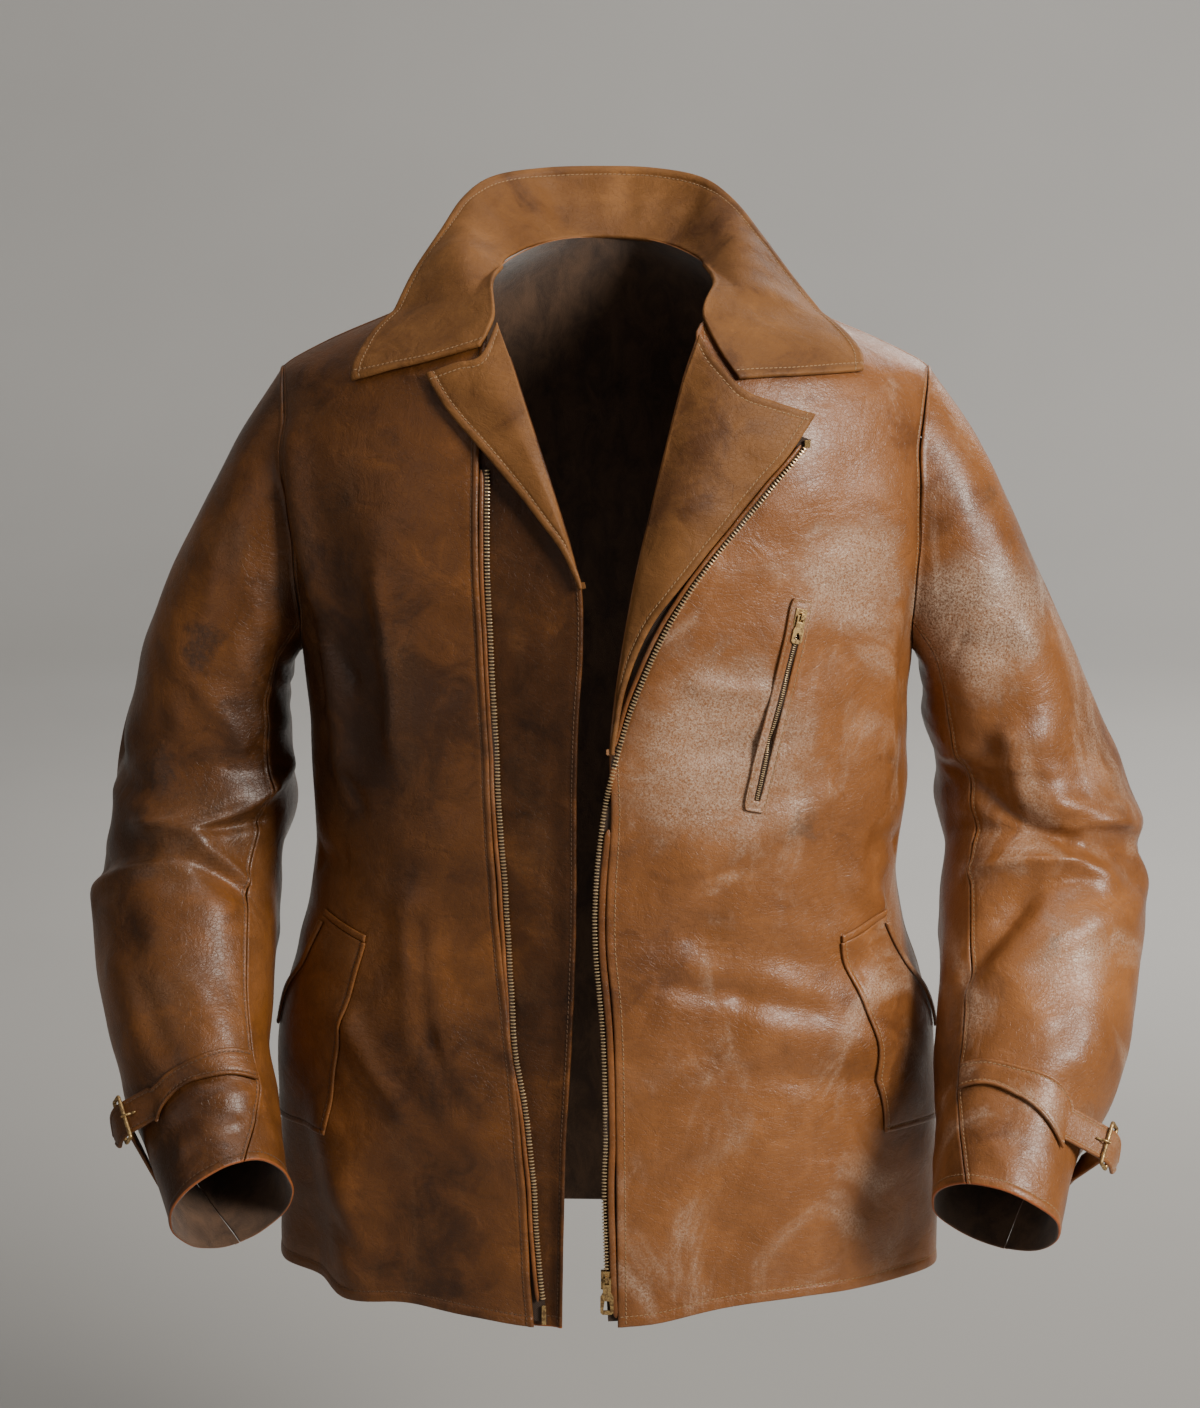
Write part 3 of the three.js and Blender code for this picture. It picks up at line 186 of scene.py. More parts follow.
def unit(vectors: Array) -> Array:
    """Vectors along the last axis, at length one."""
    return vectors / np.maximum(np.linalg.norm(vectors, axis=-1, keepdims=True), 1e-9)


def slopes(face: Callable[[Array, Array], Array], u: Array, v: Array, du: float, dv: float) -> Array:
    """Unit normals of face(u, v): the cross product of its central differences along u and v."""
    return unit(np.cross(face(u + du, v) - face(u - du, v), face(u, v + dv) - face(u, v - dv)))


@dataclass(frozen=True)
class Fold:
    """A soft ridge, or a trough below zero, between two ends on a surface, past the places between them."""

    start: tuple[float, float]
    end: tuple[float, float]
    width: float
    rise: float
    via: tuple[tuple[float, float], ...] = ()


def relief(folds: Sequence[Fold], along: Array, around: Array, scale: tuple[float, float]) -> Array:
    """Height of folds: each is a bell of the distance to its line, and they add up.

    Args:
        folds: The folds, with ends as (along, around).
        along: First coordinate of each point.
        around: Second coordinate of each point.
        scale: Millimetres for one unit of each coordinate.

    Returns:
        Height in millimetres.
    """
    total = np.zeros(np.broadcast(along, around).shape)
    for fold in folds:
        path = (fold.start, *fold.via, fold.end)
        nearest = np.full(total.shape, np.inf)
        for start, end in zip(path, path[1:]):
            ax, ay = start[0] * scale[0], start[1] * scale[1]
            bx, by = end[0] * scale[0] - ax, end[1] * scale[1] - ay
            px, py = along * scale[0] - ax, around * scale[1] - ay
            t = np.clip((px * bx + py * by) / (bx * bx + by * by), 0, 1)
            nearest = np.minimum(nearest, np.hypot(px - t * bx, py - t * by))
        total = total + fold.rise * np.exp(-((nearest / fold.width) ** 2))
    return total


def ripple(a: Array, b: Array, seed: float) -> Array:
    """Slow unevenness of worn leather: a sum of plane waves of 30 to 120 mm in turning directions.

    Args:
        a: First place in mm.
        b: Second place in mm.
        seed: Turns and shifts the waves.

    Returns:
        Height in mm.
    """
    total = np.zeros(np.broadcast(a, b).shape)
    for k, (length, height) in enumerate(((118, 0.8), (83, 0.6), (61, 0.45), (44, 0.32), (31, 0.2))):
        turn = seed + 2.4 * k
        total = total + height * np.sin(
            2 * math.pi * (a * math.cos(turn) + b * math.sin(turn)) / length + 1.7 * seed * (k + 1)
        )
    return total


TRUNK_FOLDS = (
    Fold((-153, -120), (-148, -330), 20, 7),
    Fold((-157, -150), (-154, -290), 9, -3),
    Fold((-128, -180), (-127, -300), 26, 4),
    Fold((-126, -440), (-108, -590), 20, 5),
    Fold((-146, -600), (-130, -715), 22, 5),
    Fold((-76, -395), (-50, -355), 14, 4),
    Fold((-74, -452), (-38, -480), 15, -4),
    Fold((-66, -520), (-36, -535), 16, 4),
    Fold((-30, -170), (-26, -330), 24, 4),
    Fold((20, -260), (60, -330), 18, 5),
    Fold((160, -260), (122, -330), 18, 5),
    Fold((70, -420), (110, -440), 20, -4),
)
TRUNK_CREASES = (
    Fold((-130, -206), (-129, -318), 11, 2.6),
    Fold((-150, -233), (-142, -273), 8, -2.2),
    Fold((-146, -345), (-141, -362), 7, -1.8),
    Fold((-124, -443), (-118, -521), 8, -2.4),
    Fold((-118, -521), (-110, -575), 8, -2.4),
    Fold((-138, -521), (-124, -575), 9, 2.6),
    Fold((-140, -668), (-130, -700), 9, -2.2),
    Fold((-82, -452), (-72, -436), 8, -2),
    Fold((-81, -480), (-68, -491), 7, -2.4),
    Fold((-68, -491), (-53, -505), 8, -2),
    Fold((-69, -548), (-40, -563), 8, -1.8),
    Fold((-76, -270), (-64, -277), 8, 1.8),
    Fold((-75, -318), (-60, -308), 8, -1.8),
    Fold((-36, -420), (-24, -440), 10, 2.5),
    Fold((-30, -395), (-12, -402), 9, -2.4),
    Fold((-150, -405), (-166, -412), 10, -2.4),
    Fold((15, -400), (48, -428), 11, 2.6),
    Fold((28, -452), (66, -470), 11, -2.4),
    Fold((165, -398), (130, -430), 11, 2.6),
    Fold((150, -452), (116, -470), 11, -2.4),
    Fold((88, -120), (90, -330), 26, 2.2),
    Fold((40, -150), (30, -250), 14, 2.6),
    Fold((140, -150), (150, -250), 14, 2.6),
    Fold((60, -560), (64, -700), 18, 3),
    Fold((118, -540), (116, -700), 18, 3),
)


@dataclass(frozen=True)
class Trunk:
    """The coat's body as one skin: superellipse rings down the body, a waved hem and soft folds."""

    middle: float = 3.0
    nape_rise: float = 13.0
    hem_fade: float = 300.0
    curl_depth: float = 9.0
    curl_width: float = 17.0
    fold_radius: float = 220.0

    def curl(self, x: Array, sine: Array, level: Array) -> Array:
        """How far the left front turns in beside its roll line: a bell across it, faded at both ends.

        Args:
            x: Place across the front.
            sine: Below zero in front.
            level: Level in mm.

        Returns:
            Depth in mm.
        """
        window = step(level, -340, -280) * (1 - step(level, -70, ROLL_TOP[1]))
        near = np.exp(-(((x - line(EDGE_LEFT, level)) / self.curl_width) ** 2))
        return np.where(sine > 0, 0.0, self.curl_depth * window * near)

    def skin(self, angle: Array, level: Array) -> Array:
        """Points of the skin: a superellipse ring at each level, moved out by folds, waves and the hem.

        Args:
            angle: Angle round the body, 0 at +X and -90 degrees in front, in radians.
            level: Height before the hem's wave and the nape's rise.

        Returns:
            Points in millimetres.
        """
        angle, level = np.broadcast_arrays(np.asarray(angle, float), np.asarray(level, float))
        right, left, front, back, across, deep, ridge = np.moveaxis(curve(TRUNK_RINGS, level), -1, 0)
        cosine, sine = np.cos(angle), np.sin(angle)
        x = self.middle + np.where(cosine > 0, left, right) * power(cosine, across)
        y = ridge + np.where(sine < 0, front, back) * power(sine, deep)
        turn = np.degrees((angle + math.pi) % (2 * math.pi) - math.pi)
        hem_rise, hem_out = np.moveaxis(curve(HEM_LINE, turn), -1, 0)
        low = np.clip((HEM + self.hem_fade - level) / self.hem_fade, 0, 1) ** 2
        nape = self.nape_rise * np.maximum(sine, 0) ** 2 * step(level, -90, 0)
        scale = (math.radians(self.fold_radius), 1.0)
        fold = relief(TRUNK_FOLDS, turn, level, scale) + 1.5 * relief(TRUNK_CREASES, turn, level, scale)
        slow = ripple(x + 0.4 * y, level, 0.7) * (1 - step(level, -120, -30))
        out = fold + slow + hem_out * low - self.curl(x, sine, level)
        return np.stack([x + out * cosine, y + out * sine, level + nape + hem_rise * low], -1)

    def normal(self, angle: Array, level: Array) -> Array:
        """Outward normals of the skin."""
        return slopes(self.skin, angle, level, 0.012, 1.5)

    def front_angle(self, x: Array, level: Array) -> Array:
        """Angle of the front of the body at an x and a level.

        Args:
            x: Place across the front.
            level: Level in mm.

        Returns:
            Angle in radians.
        """
        right, left, _, _, across, _, _ = np.moveaxis(curve(TRUNK_RINGS, level), -1, 0)
        part = np.clip((x - self.middle) / np.where(x > self.middle, left, right), -1, 1)
        return -np.arccos(np.sign(part) * np.abs(part) ** (across / 2))

    def side_angle(self, y: Array, level: Array, side: int) -> Array:
        """Angle of the side of the body at a y and a level.

        Args:
            y: Place from front to back.
            level: Level in mm.
            side: 1 at the left and -1 at the right.

        Returns:
            Angle in radians.
        """
        _, _, front, back, _, deep, ridge = np.moveaxis(curve(TRUNK_RINGS, level), -1, 0)
        part = (y - ridge) / np.where(y < ridge, front, back)
        angle = np.sign(part) * np.arcsin(np.minimum(np.abs(part), 1) ** (deep / 2))
        return angle if side > 0 else math.pi - angle

    def on_front(self, x: Array, level: Array, lift: Array | float) -> Array:
        """Points over the front at an x and a level, lifted along the normal.

        Args:
            x: Place across the front.
            level: Level in mm.
            lift: Height over the skin.

        Returns:
            Points in mm.
        """
        x, level = np.broadcast_arrays(np.asarray(x, float), np.asarray(level, float))
        angle = self.front_angle(x, level)
        return self.skin(angle, level) + self.normal(angle, level) * np.asarray(lift)[..., None]

    def lift_off(self, points: Array, gap: Array) -> Array:
        """Points moved out along the skin's normal, four times over, until they clear it by a gap.

        Args:
            points: Points near the body.
            gap: Least height of each.

        Returns:
            The moved points.
        """
        points = points.copy()
        for _ in range(4):
            level = np.clip(points[..., 2], HEM, 0)
            right, left, front, back, across, deep, ridge = np.moveaxis(curve(TRUNK_RINGS, level), -1, 0)
            cosine = (points[..., 0] - self.middle) / np.where(points[..., 0] > self.middle, left, right)
            sine = (points[..., 1] - ridge) / np.where(points[..., 1] < ridge, front, back)
            angle = np.arctan2(
                np.sign(sine) * np.abs(sine) ** (deep / 2), np.sign(cosine) * np.abs(cosine) ** (across / 2)
            )
            normal = self.normal(angle, level)
            height = ((points - self.skin(angle, level)) * normal).sum(-1)
            points += normal * np.maximum(gap - height, 0)[..., None]
        return points


TRUNK = Trunk()


@dataclass(frozen=True)
class Armhole:
    """The oval where a sleeve joins the body, seen from the side."""

    height: float = -168.0
    rise: float = 100.0
    reach: float = 55.0
    clear: float = 0.9

    def place(self, turn: Array, side: int, backward: bool) -> tuple[Array, Array]:
        """Level and body angle of the armhole's edge, at a turn from 0 at its top to pi at its bottom.

        Args:
            turn: Turn in radians.
            side: 1 at the left and -1 at the right.
            backward: True for its back half.

        Returns:
            Level in mm and angle in radians.
        """
        level = self.height + self.rise * np.cos(turn)
        ridge = curve(TRUNK_RINGS, level)[..., 6]
        reach = self.reach * np.sin(turn)
        return level, TRUNK.side_angle(ridge + (reach if backward else -reach), level, side)


ARMHOLE = Armhole()


class Wave:
    """A shader value as a Python number: it wraps a socket, and its operators add Math nodes."""

    def __init__(self, nodes: "Shader", socket: bpy.types.NodeSocket) -> None:
        """Wraps a socket of a shader's node tree."""
        self.nodes = nodes
        self.socket = socket

    def _math(self, operation: str, a: object, b: object) -> "Wave":
        """One Math node on two values."""
        return self.nodes.node("ShaderNodeMath", {"operation": operation}, {0: a, 1: b})

    def __add__(self, other: object) -> "Wave":
        """Sum."""
        return self._math("ADD", self, other)

    __radd__ = __add__

    def __mul__(self, other: object) -> "Wave":
        """Product."""
        return self._math("MULTIPLY", self, other)

    __rmul__ = __mul__

    def __sub__(self, other: object) -> "Wave":
        """Difference."""
        return self._math("SUBTRACT", self, other)

    def __rsub__(self, other: object) -> "Wave":
        """Difference from a number."""
        return self._math("SUBTRACT", other, self)

    def ramp(self, start: float, end: float) -> "Wave":
        """Smooth step from 0 at start to 1 at end."""
        inputs = {0: self, 1: start, 2: end, 3: 0.0, 4: 1.0}
        return self.nodes.node("ShaderNodeMapRange", {"interpolation_type": "SMOOTHSTEP"}, inputs)


class Shader:
    """One material's node tree, built by a few calls."""

    def __init__(self, name: str) -> None:
        """Makes an empty material with a Principled shader.

        Args:
            name: The material's name.
        """
        self.material = bpy.data.materials.new(name)
        self.material.use_nodes = True
        self.tree = self.material.node_tree
        self.tree.nodes.clear()
        output = self.tree.nodes.new("ShaderNodeOutputMaterial")
        self.shader = self.tree.nodes.new("ShaderNodeBsdfPrincipled")
        self.tree.links.new(self.shader.outputs[0], output.inputs[0])

    def connect(self, socket: bpy.types.NodeSocket, value: object) -> None:
        """Links a value to a socket, or sets it there when it is a plain number or colour.

        Args:
            socket: An input.
            value: A Wave, a number, a colour or None.
        """
        if isinstance(value, Wave):
            self.tree.links.new(value.socket, socket)
        elif value is not None:
            socket.default_value = value

    def node(self, kind: str, settings: dict, inputs: dict, output: int | str = 0) -> Wave:
        """Adds any node.

        Args:
            kind: Blender's name for the node.
            settings: Its settings, set first.
            inputs: Values or links of its sockets, by index or name.
            output: The output that is wanted.

        Returns:
            That output as a value.
        """
        made = self.tree.nodes.new(kind)
        for key, value in settings.items():
            setattr(made, key, value)
        for key, value in inputs.items():
            self.connect(made.inputs[key], value)
        return Wave(self, made.outputs[output])

    def place(self, stretch: Colour = (1.0, 1.0, 1.0), turn: Colour = (0.0, 0.0, 0.0)) -> Wave:
        """Object coordinates, turned and stretched."""
        coordinates = self.node("ShaderNodeTexCoord", {}, {}, "Object")
        return self.node("ShaderNodeMapping", {}, {"Vector": coordinates, "Rotation": turn, "Scale": stretch})

    def noise(
        self, place: Wave, scale: float, detail: float = 4.0, rough: float = 0.55, warp: float = 0.0
    ) -> Wave:
        """Soft noise from 0 to 1."""
        inputs = {"Vector": place, "Scale": scale, "Detail": detail, "Roughness": rough, "Distortion": warp}
        return self.node("ShaderNodeTexNoise", {}, inputs)

    def cells(self, place: Wave, scale: float, feature: str) -> Wave:
        """Distance pattern of scattered cells."""
        return self.node("ShaderNodeTexVoronoi", {"feature": feature}, {"Vector": place, "Scale": scale})

    def spot(self, centre: Colour, radius: float, noise: Wave, ragged: float) -> Wave:
        """A soft spot: 1 at its centre and 0 past its radius, with an edge made ragged by noise.

        Args:
            centre: Its place in metres.
            radius: Its radius in metres.
            noise: Noise from 0 to 1 that moves its edge.
            ragged: How much of the radius the noise takes.

        Returns:
            The mask.
        """
        squash = 0.4
        settings, aim = {"operation": "DISTANCE"}, (centre[0], centre[1] * squash, centre[2])
        inputs = {0: self.place((1.0, squash, 1.0)), 1: aim}
        far = self.node("ShaderNodeVectorMath", settings, inputs, "Value") * (1 / radius)
        return 1.0 - (far + (noise - 0.5) * (4 * ragged)).ramp(0.35, 1.0)

    def mark(self, name: str) -> Wave:
        """A value that the mesh carries at each point."""
        return self.node("ShaderNodeAttribute", {"attribute_name": name}, {}, "Fac")

    def blend(self, factor: object, a: object, b: object) -> Wave:
        """Mixes two colours.

        Args:
            factor: Share of the second.
            a: One colour.
            b: The other.

        Returns:
            The mix.
        """
        settings = {"data_type": "RGBA", "clamp_factor": True}
        colours = [(*c, 1.0) if isinstance(c, tuple) else c for c in (a, b)]
        return self.node("ShaderNodeMix", settings, {0: factor, 6: colours[0], 7: colours[1]}, 2)

    def bump(self, height: Wave, distance: float, under: Wave | None = None, strength: float = 1.0) -> Wave:
        """Bump of a height in metres, over another bump."""
        inputs = {"Strength": strength, "Distance": distance, "Height": height, "Normal": under}
        return self.node("ShaderNodeBump", {}, inputs)

    def finish(self, **sockets: object) -> bpy.types.Material:
        """Sets the shader's sockets and returns the material.

        Args:
            sockets: Values by socket name, with _ for a space.

        Returns:
            The material.
        """
        for name, value in sockets.items():
            self.connect(self.shader.inputs[name.replace("_", " ")], value)
        return self.material


@dataclass(frozen=True)
class Leather:
    """Worn waxed leather: mottled colour, pale frost that is partly wax bloom and partly painted highlight,
    scuffs, raw turned edges and a pebbled grain.
    """

    name: str
    deep: Colour
    main: Colour
    warm: Colour
    # Pale colour of the frost, partly wax bloom and partly painted highlight.
    frost_and_highlight: Colour
    raw: Colour
    # How strong the frost is: partly wax bloom, partly painted highlight.
    frost_and_highlight_amount: float = 0.5
    rough: float = 0.46
    coat: float = 0.18
    grain: float = 0.0003
    raw_reach: float = 1.6
    shine: float = 0.36
    # Spots of painted highlight, as centre and radius in metres.
    painted_highlight_spots: tuple[tuple[Colour, float], ...] = ()
    marks: tuple[tuple[Colour, float, Colour], ...] = ()

    def material(self) -> bpy.types.Material:
        """Builds the material.

        Returns:
            The finished material.
        """
        s = Shader(self.name)
        at = s.place()
        # Mottled colour, then pale frost: partly wax bloom, partly painted highlight, with spots of painted
        # highlight.
        slow = s.noise(at, 7.0, 3.0, 0.5, 0.6)
        mottle = s.noise(at, 34.0, 6.0, 0.62, 0.8)
        fine = s.noise(at, 240.0, 5.0, 0.7)
        tone = slow * 0.55 + mottle * 0.35 + fine * 0.1
        base = s.blend(tone.ramp(0.36, 0.52), self.deep, self.main)
        base = s.blend(tone.ramp(0.5, 0.66), base, self.warm)
        frost_and_highlight_patches = s.noise(s.place((1.0, 1.0, 0.6)), 11.0, 5.0, 0.6, 1.4).ramp(0.5, 0.72)
        broken = s.noise(at, 700.0, 3.0, 0.75).ramp(0.28, 0.72)
        # Spots of painted highlight raise the frost.
        for centre, radius in self.painted_highlight_spots:
            frost_and_highlight_patches = frost_and_highlight_patches + s.spot(centre, radius, slow * 0.5 + mottle * 0.5, 0.55)
        frost_and_highlight = frost_and_highlight_patches * broken * self.frost_and_highlight_amount
        base = s.blend(frost_and_highlight, base, self.frost_and_highlight)
        # Scuffs, fine cracks, single marks, and crease lines darkened by painted shade.
        scuff = s.noise(s.place((1.0, 1.0, 0.22)), 90.0, 4.0, 0.75, 2.0).ramp(0.66, 0.74)
        base = s.blend(scuff * 0.55, base, self.deep)
        cracks = 1.0 - s.cells(s.place((1.0, 1.0, 1.6)), 210.0, "DISTANCE_TO_EDGE").ramp(0.0, 0.05)
        base = s.blend(cracks * 0.28 * mottle, base, self.deep)
        for centre, radius, colour in self.marks:
            base = s.blend(s.spot(centre, radius, mottle, 0.7) * fine.ramp(0.3, 0.62) * 0.6, base, colour)
        lines = s.noise(s.place((0.7, 0.7, 1.9), (0.1, 0.35, 0.2)), 13.0, 2.0, 0.45, 0.25)
        crease = lines.ramp(0.44, 0.5) * (1.0 - lines.ramp(0.5, 0.56)) * mottle.ramp(0.48, 0.66)
        # Painted shade darkens the crease lines.
        base = s.blend(crease * 0.12, base, self.deep)
        # Edges, rubbed and at last raw.
        edge = s.mark("edge")
        rub = (1.0 - edge.ramp(1.2, 7.0)) * mottle.ramp(0.42, 0.62)
        base = s.blend(rub * 0.55, base, self.warm)
        raw = 1.0 - edge.ramp(self.raw_reach * 0.45, self.raw_reach)
        base = s.blend(raw * 0.85, base, self.raw)
        # Roughness, and bumps from wide to fine.
        rough = self.rough + 0.22 * (mottle - 0.5) - 0.14 * broken - 0.1 * frost_and_highlight + 0.16 * raw
        pebble = s.cells(at, 900.0, "SMOOTH_F1") * 0.7 + s.noise(at, 1500.0, 2.0) * 0.3
        wrinkle = s.noise(s.place((1.0, 1.0, 1.3), (0.3, 0.5, 0.2)), 30.0, 6.0, 0.6, 1.1)
        normal = s.bump(wrinkle, 0.0016, None, 0.85)
        normal = s.bump(1.0 - crease, 0.0006, normal, 0.5)
        normal = s.bump(pebble, self.grain, normal, 0.7)
        normal = s.bump(1.0 - cracks, 0.00018, normal, 0.5)
        fixed = {"Coat_Weight": self.coat, "Coat_Roughness": 0.34, "Specular_IOR_Level": self.shine}
        return s.finish(Base_Color=base, Roughness=rough, Normal=normal, **fixed)


@dataclass(frozen=True)
class Suede:
    """The flesh side of the leather: matte, napped and mottled."""

    name: str
    deep: Colour
    light: Colour

    def material(self) -> bpy.types.Material:
        """Builds the material.

        Returns:
            The finished material.
        """
        s = Shader(self.name)
        at = s.place()
        nap = s.noise(s.place((1.0, 1.0, 0.5)), 60.0, 6.0, 0.7, 0.6)
        fibre = s.noise(at, 1400.0, 3.0, 0.7)
        base = s.blend((nap * 0.7 + fibre * 0.3).ramp(0.35, 0.66), self.deep, self.light)
        normal = s.bump(fibre + nap, 0.0004)
        return s.finish(Base_Color=base, Roughness=0.93, Sheen_Weight=0.25, Normal=normal)


@dataclass(frozen=True)
class Brass:
    """Aged brass: bright where it is rubbed, brown where tarnish stays."""

    name: str
    bright: Colour
    tarnish: Colour
    wear: float = 0.5

    def material(self) -> bpy.types.Material:
        """Builds the material.

        Returns:
            The finished material.
        """
        s = Shader(self.name)
        at = s.place()
        stain = s.noise(at, 320.0, 5.0, 0.65, 0.8)
        scratch = s.noise(s.place((1.0, 1.0, 6.0), (0.4, 0.2, 0.7)), 900.0, 3.0, 0.6)
        mask = stain.ramp(self.wear - 0.12, self.wear + 0.14)
        base = s.blend(mask, self.tarnish, self.bright)
        rough = 0.52 - 0.22 * mask + 0.12 * scratch
        normal = s.bump(scratch, 0.00005, s.bump(stain, 0.00012))
        return s.finish(Base_Color=base, Metallic=0.55 + 0.45 * mask, Roughness=rough, Normal=normal)


@dataclass(frozen=True)
class Woven:
    """Zip tape or thread: a fine rib in two tones."""

    name: str
    dark: Colour
    light: Colour
    pitch: float = 0.0008

    def material(self) -> bpy.types.Material:
        """Builds the material.

        Returns:
            The finished material.
        """
        s = Shader(self.name)
        at = s.place()
        inputs = {"Vector": at, "Scale": 1 / self.pitch / 3, "Distortion": 0.6}
        rib = s.node("ShaderNodeTexWave", {"bands_direction": "DIAGONAL"}, inputs, 1)
        dust = s.noise(at, 180.0, 5.0, 0.7)
        base = s.blend(rib * 0.5 + dust * 0.5, self.dark, self.light)
        return s.finish(Base_Color=base, Roughness=0.88, Sheen_Weight=0.1, Normal=s.bump(rib, 0.0002))


class Finish(Enum):
    """The finishes of the coat, each with its recipe."""

    # Tan leather, with strong frost and spots of painted highlight on its lit parts.
    TAN = Leather(
        "leather_tan", (0.12, 0.042, 0.012), (0.215, 0.079, 0.0215), (0.30, 0.115, 0.033),
        (0.56, 0.41, 0.30), (0.36, 0.09, 0.02), 0.75, 0.45,
        # Spots of painted highlight on the lit chest and left sleeve.
        painted_highlight_spots=(
            ((0.083, -0.13, -0.32), 0.085), ((0.17, -0.11, -0.20), 0.05), ((0.262, -0.06, -0.245), 0.06),
            ((0.33, -0.06, -0.47), 0.05),
        ),
        marks=(
            ((0.31, -0.07, -0.46), 0.02, (0.09, 0.06, 0.045)),
            ((0.18, -0.11, -0.182), 0.0022, (0.6, 0.52, 0.45)),
            ((0.14, -0.12, -0.37), 0.012, (0.10, 0.05, 0.025)),
            ((0.28, -0.05, -0.155), 0.014, (0.10, 0.05, 0.025)),
        ),
    )
    # Tan leather darkened by painted shade, for the wearer's right, away from the key light, with little frost.
    BROWN = Leather(
        "leather_tan_painted_shade", (0.046, 0.0155, 0.0035), (0.115, 0.040, 0.0085), (0.20, 0.070, 0.014),
        (0.26, 0.14, 0.07), (0.32, 0.09, 0.022), 0.22, 0.47, 0.1,
        # Spots of painted highlight on the right sleeve.
        painted_highlight_spots=(((-0.285, -0.06, -0.40), 0.05), ((-0.3, -0.09, -0.5), 0.04)),
        marks=(
            ((-0.279, -0.055, -0.256), 0.022, (0.02, 0.012, 0.008)),
            ((-0.313, -0.06, -0.345), 0.02, (0.02, 0.012, 0.008)),
        ),
    )
    FACING = Leather(
        "leather_facing", (0.078, 0.029, 0.008), (0.17, 0.070, 0.019), (0.26, 0.112, 0.033),
        (0.32, 0.18, 0.09), (0.17, 0.065, 0.02), 0.15, 0.64, 0.0, 0.0002, shine=0.24,
        marks=(
            ((-0.073, -0.09, -0.115), 0.003, (0.5, 0.2, 0.06)),
            ((-0.027, -0.12, -0.215), 0.003, (0.5, 0.2, 0.06)),
        ),
    )
    PIPING = Leather(
        "leather_piping", (0.085, 0.028, 0.007), (0.17, 0.058, 0.013), (0.28, 0.10, 0.025),
        (0.44, 0.28, 0.17), (0.30, 0.09, 0.03), 0.3, 0.42, 0.2,
    )
    # Leather darkened by painted shade, for the wind flap, which is turned into the opening on the shaded side.
    FLAP = Leather(
        "leather_flap_painted_shade", (0.020, 0.007, 0.002), (0.055, 0.019, 0.0045), (0.13, 0.046, 0.010),
        (0.18, 0.10, 0.05), (0.32, 0.09, 0.022), 0.2, 0.5, 0.0, shine=0.26,
    )
    SUEDE = Suede("leather_flesh_side", (0.045, 0.022, 0.011), (0.12, 0.062, 0.031))
    BRASS = Brass("brass_aged", (0.62, 0.42, 0.18), (0.15, 0.085, 0.035), 0.5)
    TEETH = Brass("brass_teeth", (0.95, 0.72, 0.42), (0.5, 0.34, 0.17), 0.4)
    TAPE = Woven("zip_tape_weave", (0.022, 0.011, 0.006), (0.058, 0.031, 0.017))
    THREAD = Woven("thread_tan", (0.20, 0.105, 0.045), (0.42, 0.26, 0.13), 0.0006)
    # Tan thread darkened by painted shade, for the wearer's right and the wind flap.
    THREAD_DARK = Woven("thread_tan_painted_shade", (0.055, 0.026, 0.012), (0.15, 0.075, 0.034), 0.0006)

    def made(self) -> bpy.types.Material:
        """The material, built the first time that it is asked for."""
        return bpy.data.materials.get(self.value.name) or self.value.material()


def new_piece(
    name: str,
    points: Array,
    faces: Array,
    finishes: Sequence[Finish],
    replaces: Sequence[str] = (),
    slots: Array | None = None,
    edge: Array | None = None,
    crease: float = 60.0,
) -> bpy.types.Object:
    """Makes a closed mesh into a piece that rides on the coat.

    Args:
        name: The piece's name.
        points: Its points in millimetres.
        faces: Its faces as rows of point numbers, wound either way.
        finishes: Its materials.
        replaces: Names of the solids that it stands for.
        slots: Material number of each face.
        edge: Distance from a finished edge at each point.
        crease: Edges sharper than this many degrees stay sharp.

    Returns:
        The object.
    """
    corners = points[faces]
    fan = sum(
        np.einsum("ij,ij->i", corners[:, 0], np.cross(corners[:, k], corners[:, k + 1])).sum()
        for k in range(1, faces.shape[1] - 1)
    )
    turned = faces if fan > 0 else faces[:, ::-1]
    mesh = bpy.data.meshes.new(name)
    mesh.from_pydata((points * MM).tolist(), [], turned.tolist())
    for finish in finishes:
        mesh.materials.append(finish.made())
    if slots is not None:
        mesh.polygons.foreach_set("material_index", slots.astype(np.int32))
    edge = np.full(len(points), PLAIN) if edge is None else edge
    mesh.attributes.new("edge", "FLOAT", "POINT").data.foreach_set("value", edge.astype(np.float32))
    mesh.polygons.foreach_set("use_smooth", np.ones(len(faces), bool))
    mesh.set_sharp_from_angle(angle=math.radians(crease))
    mesh.update()
    obj = bpy.data.objects.new(name, mesh)
    bpy.context.scene.collection.objects.link(obj)
    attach(obj, BODY)
    if replaces:
        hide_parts(*replaces)
    LOG.info("%s: %d faces", name, len(faces))
    return obj


@dataclass
class Rim:
    """How a panel ends at one of its edges: its rounding, puff, stitches, cut side and stitched share."""

    round: float = 0.7
    puff: float = 0.0
    stitch: float = 0.0
    raw: bool = False
    span: tuple[float, float] = (0.0, 1.0)


SEAM = Rim(0.6, 0.25)
FOOT = Rim(0.9, 0.35, 8.0)
"""Flat cut of each panel, as width and length in metres and area in square metres."""


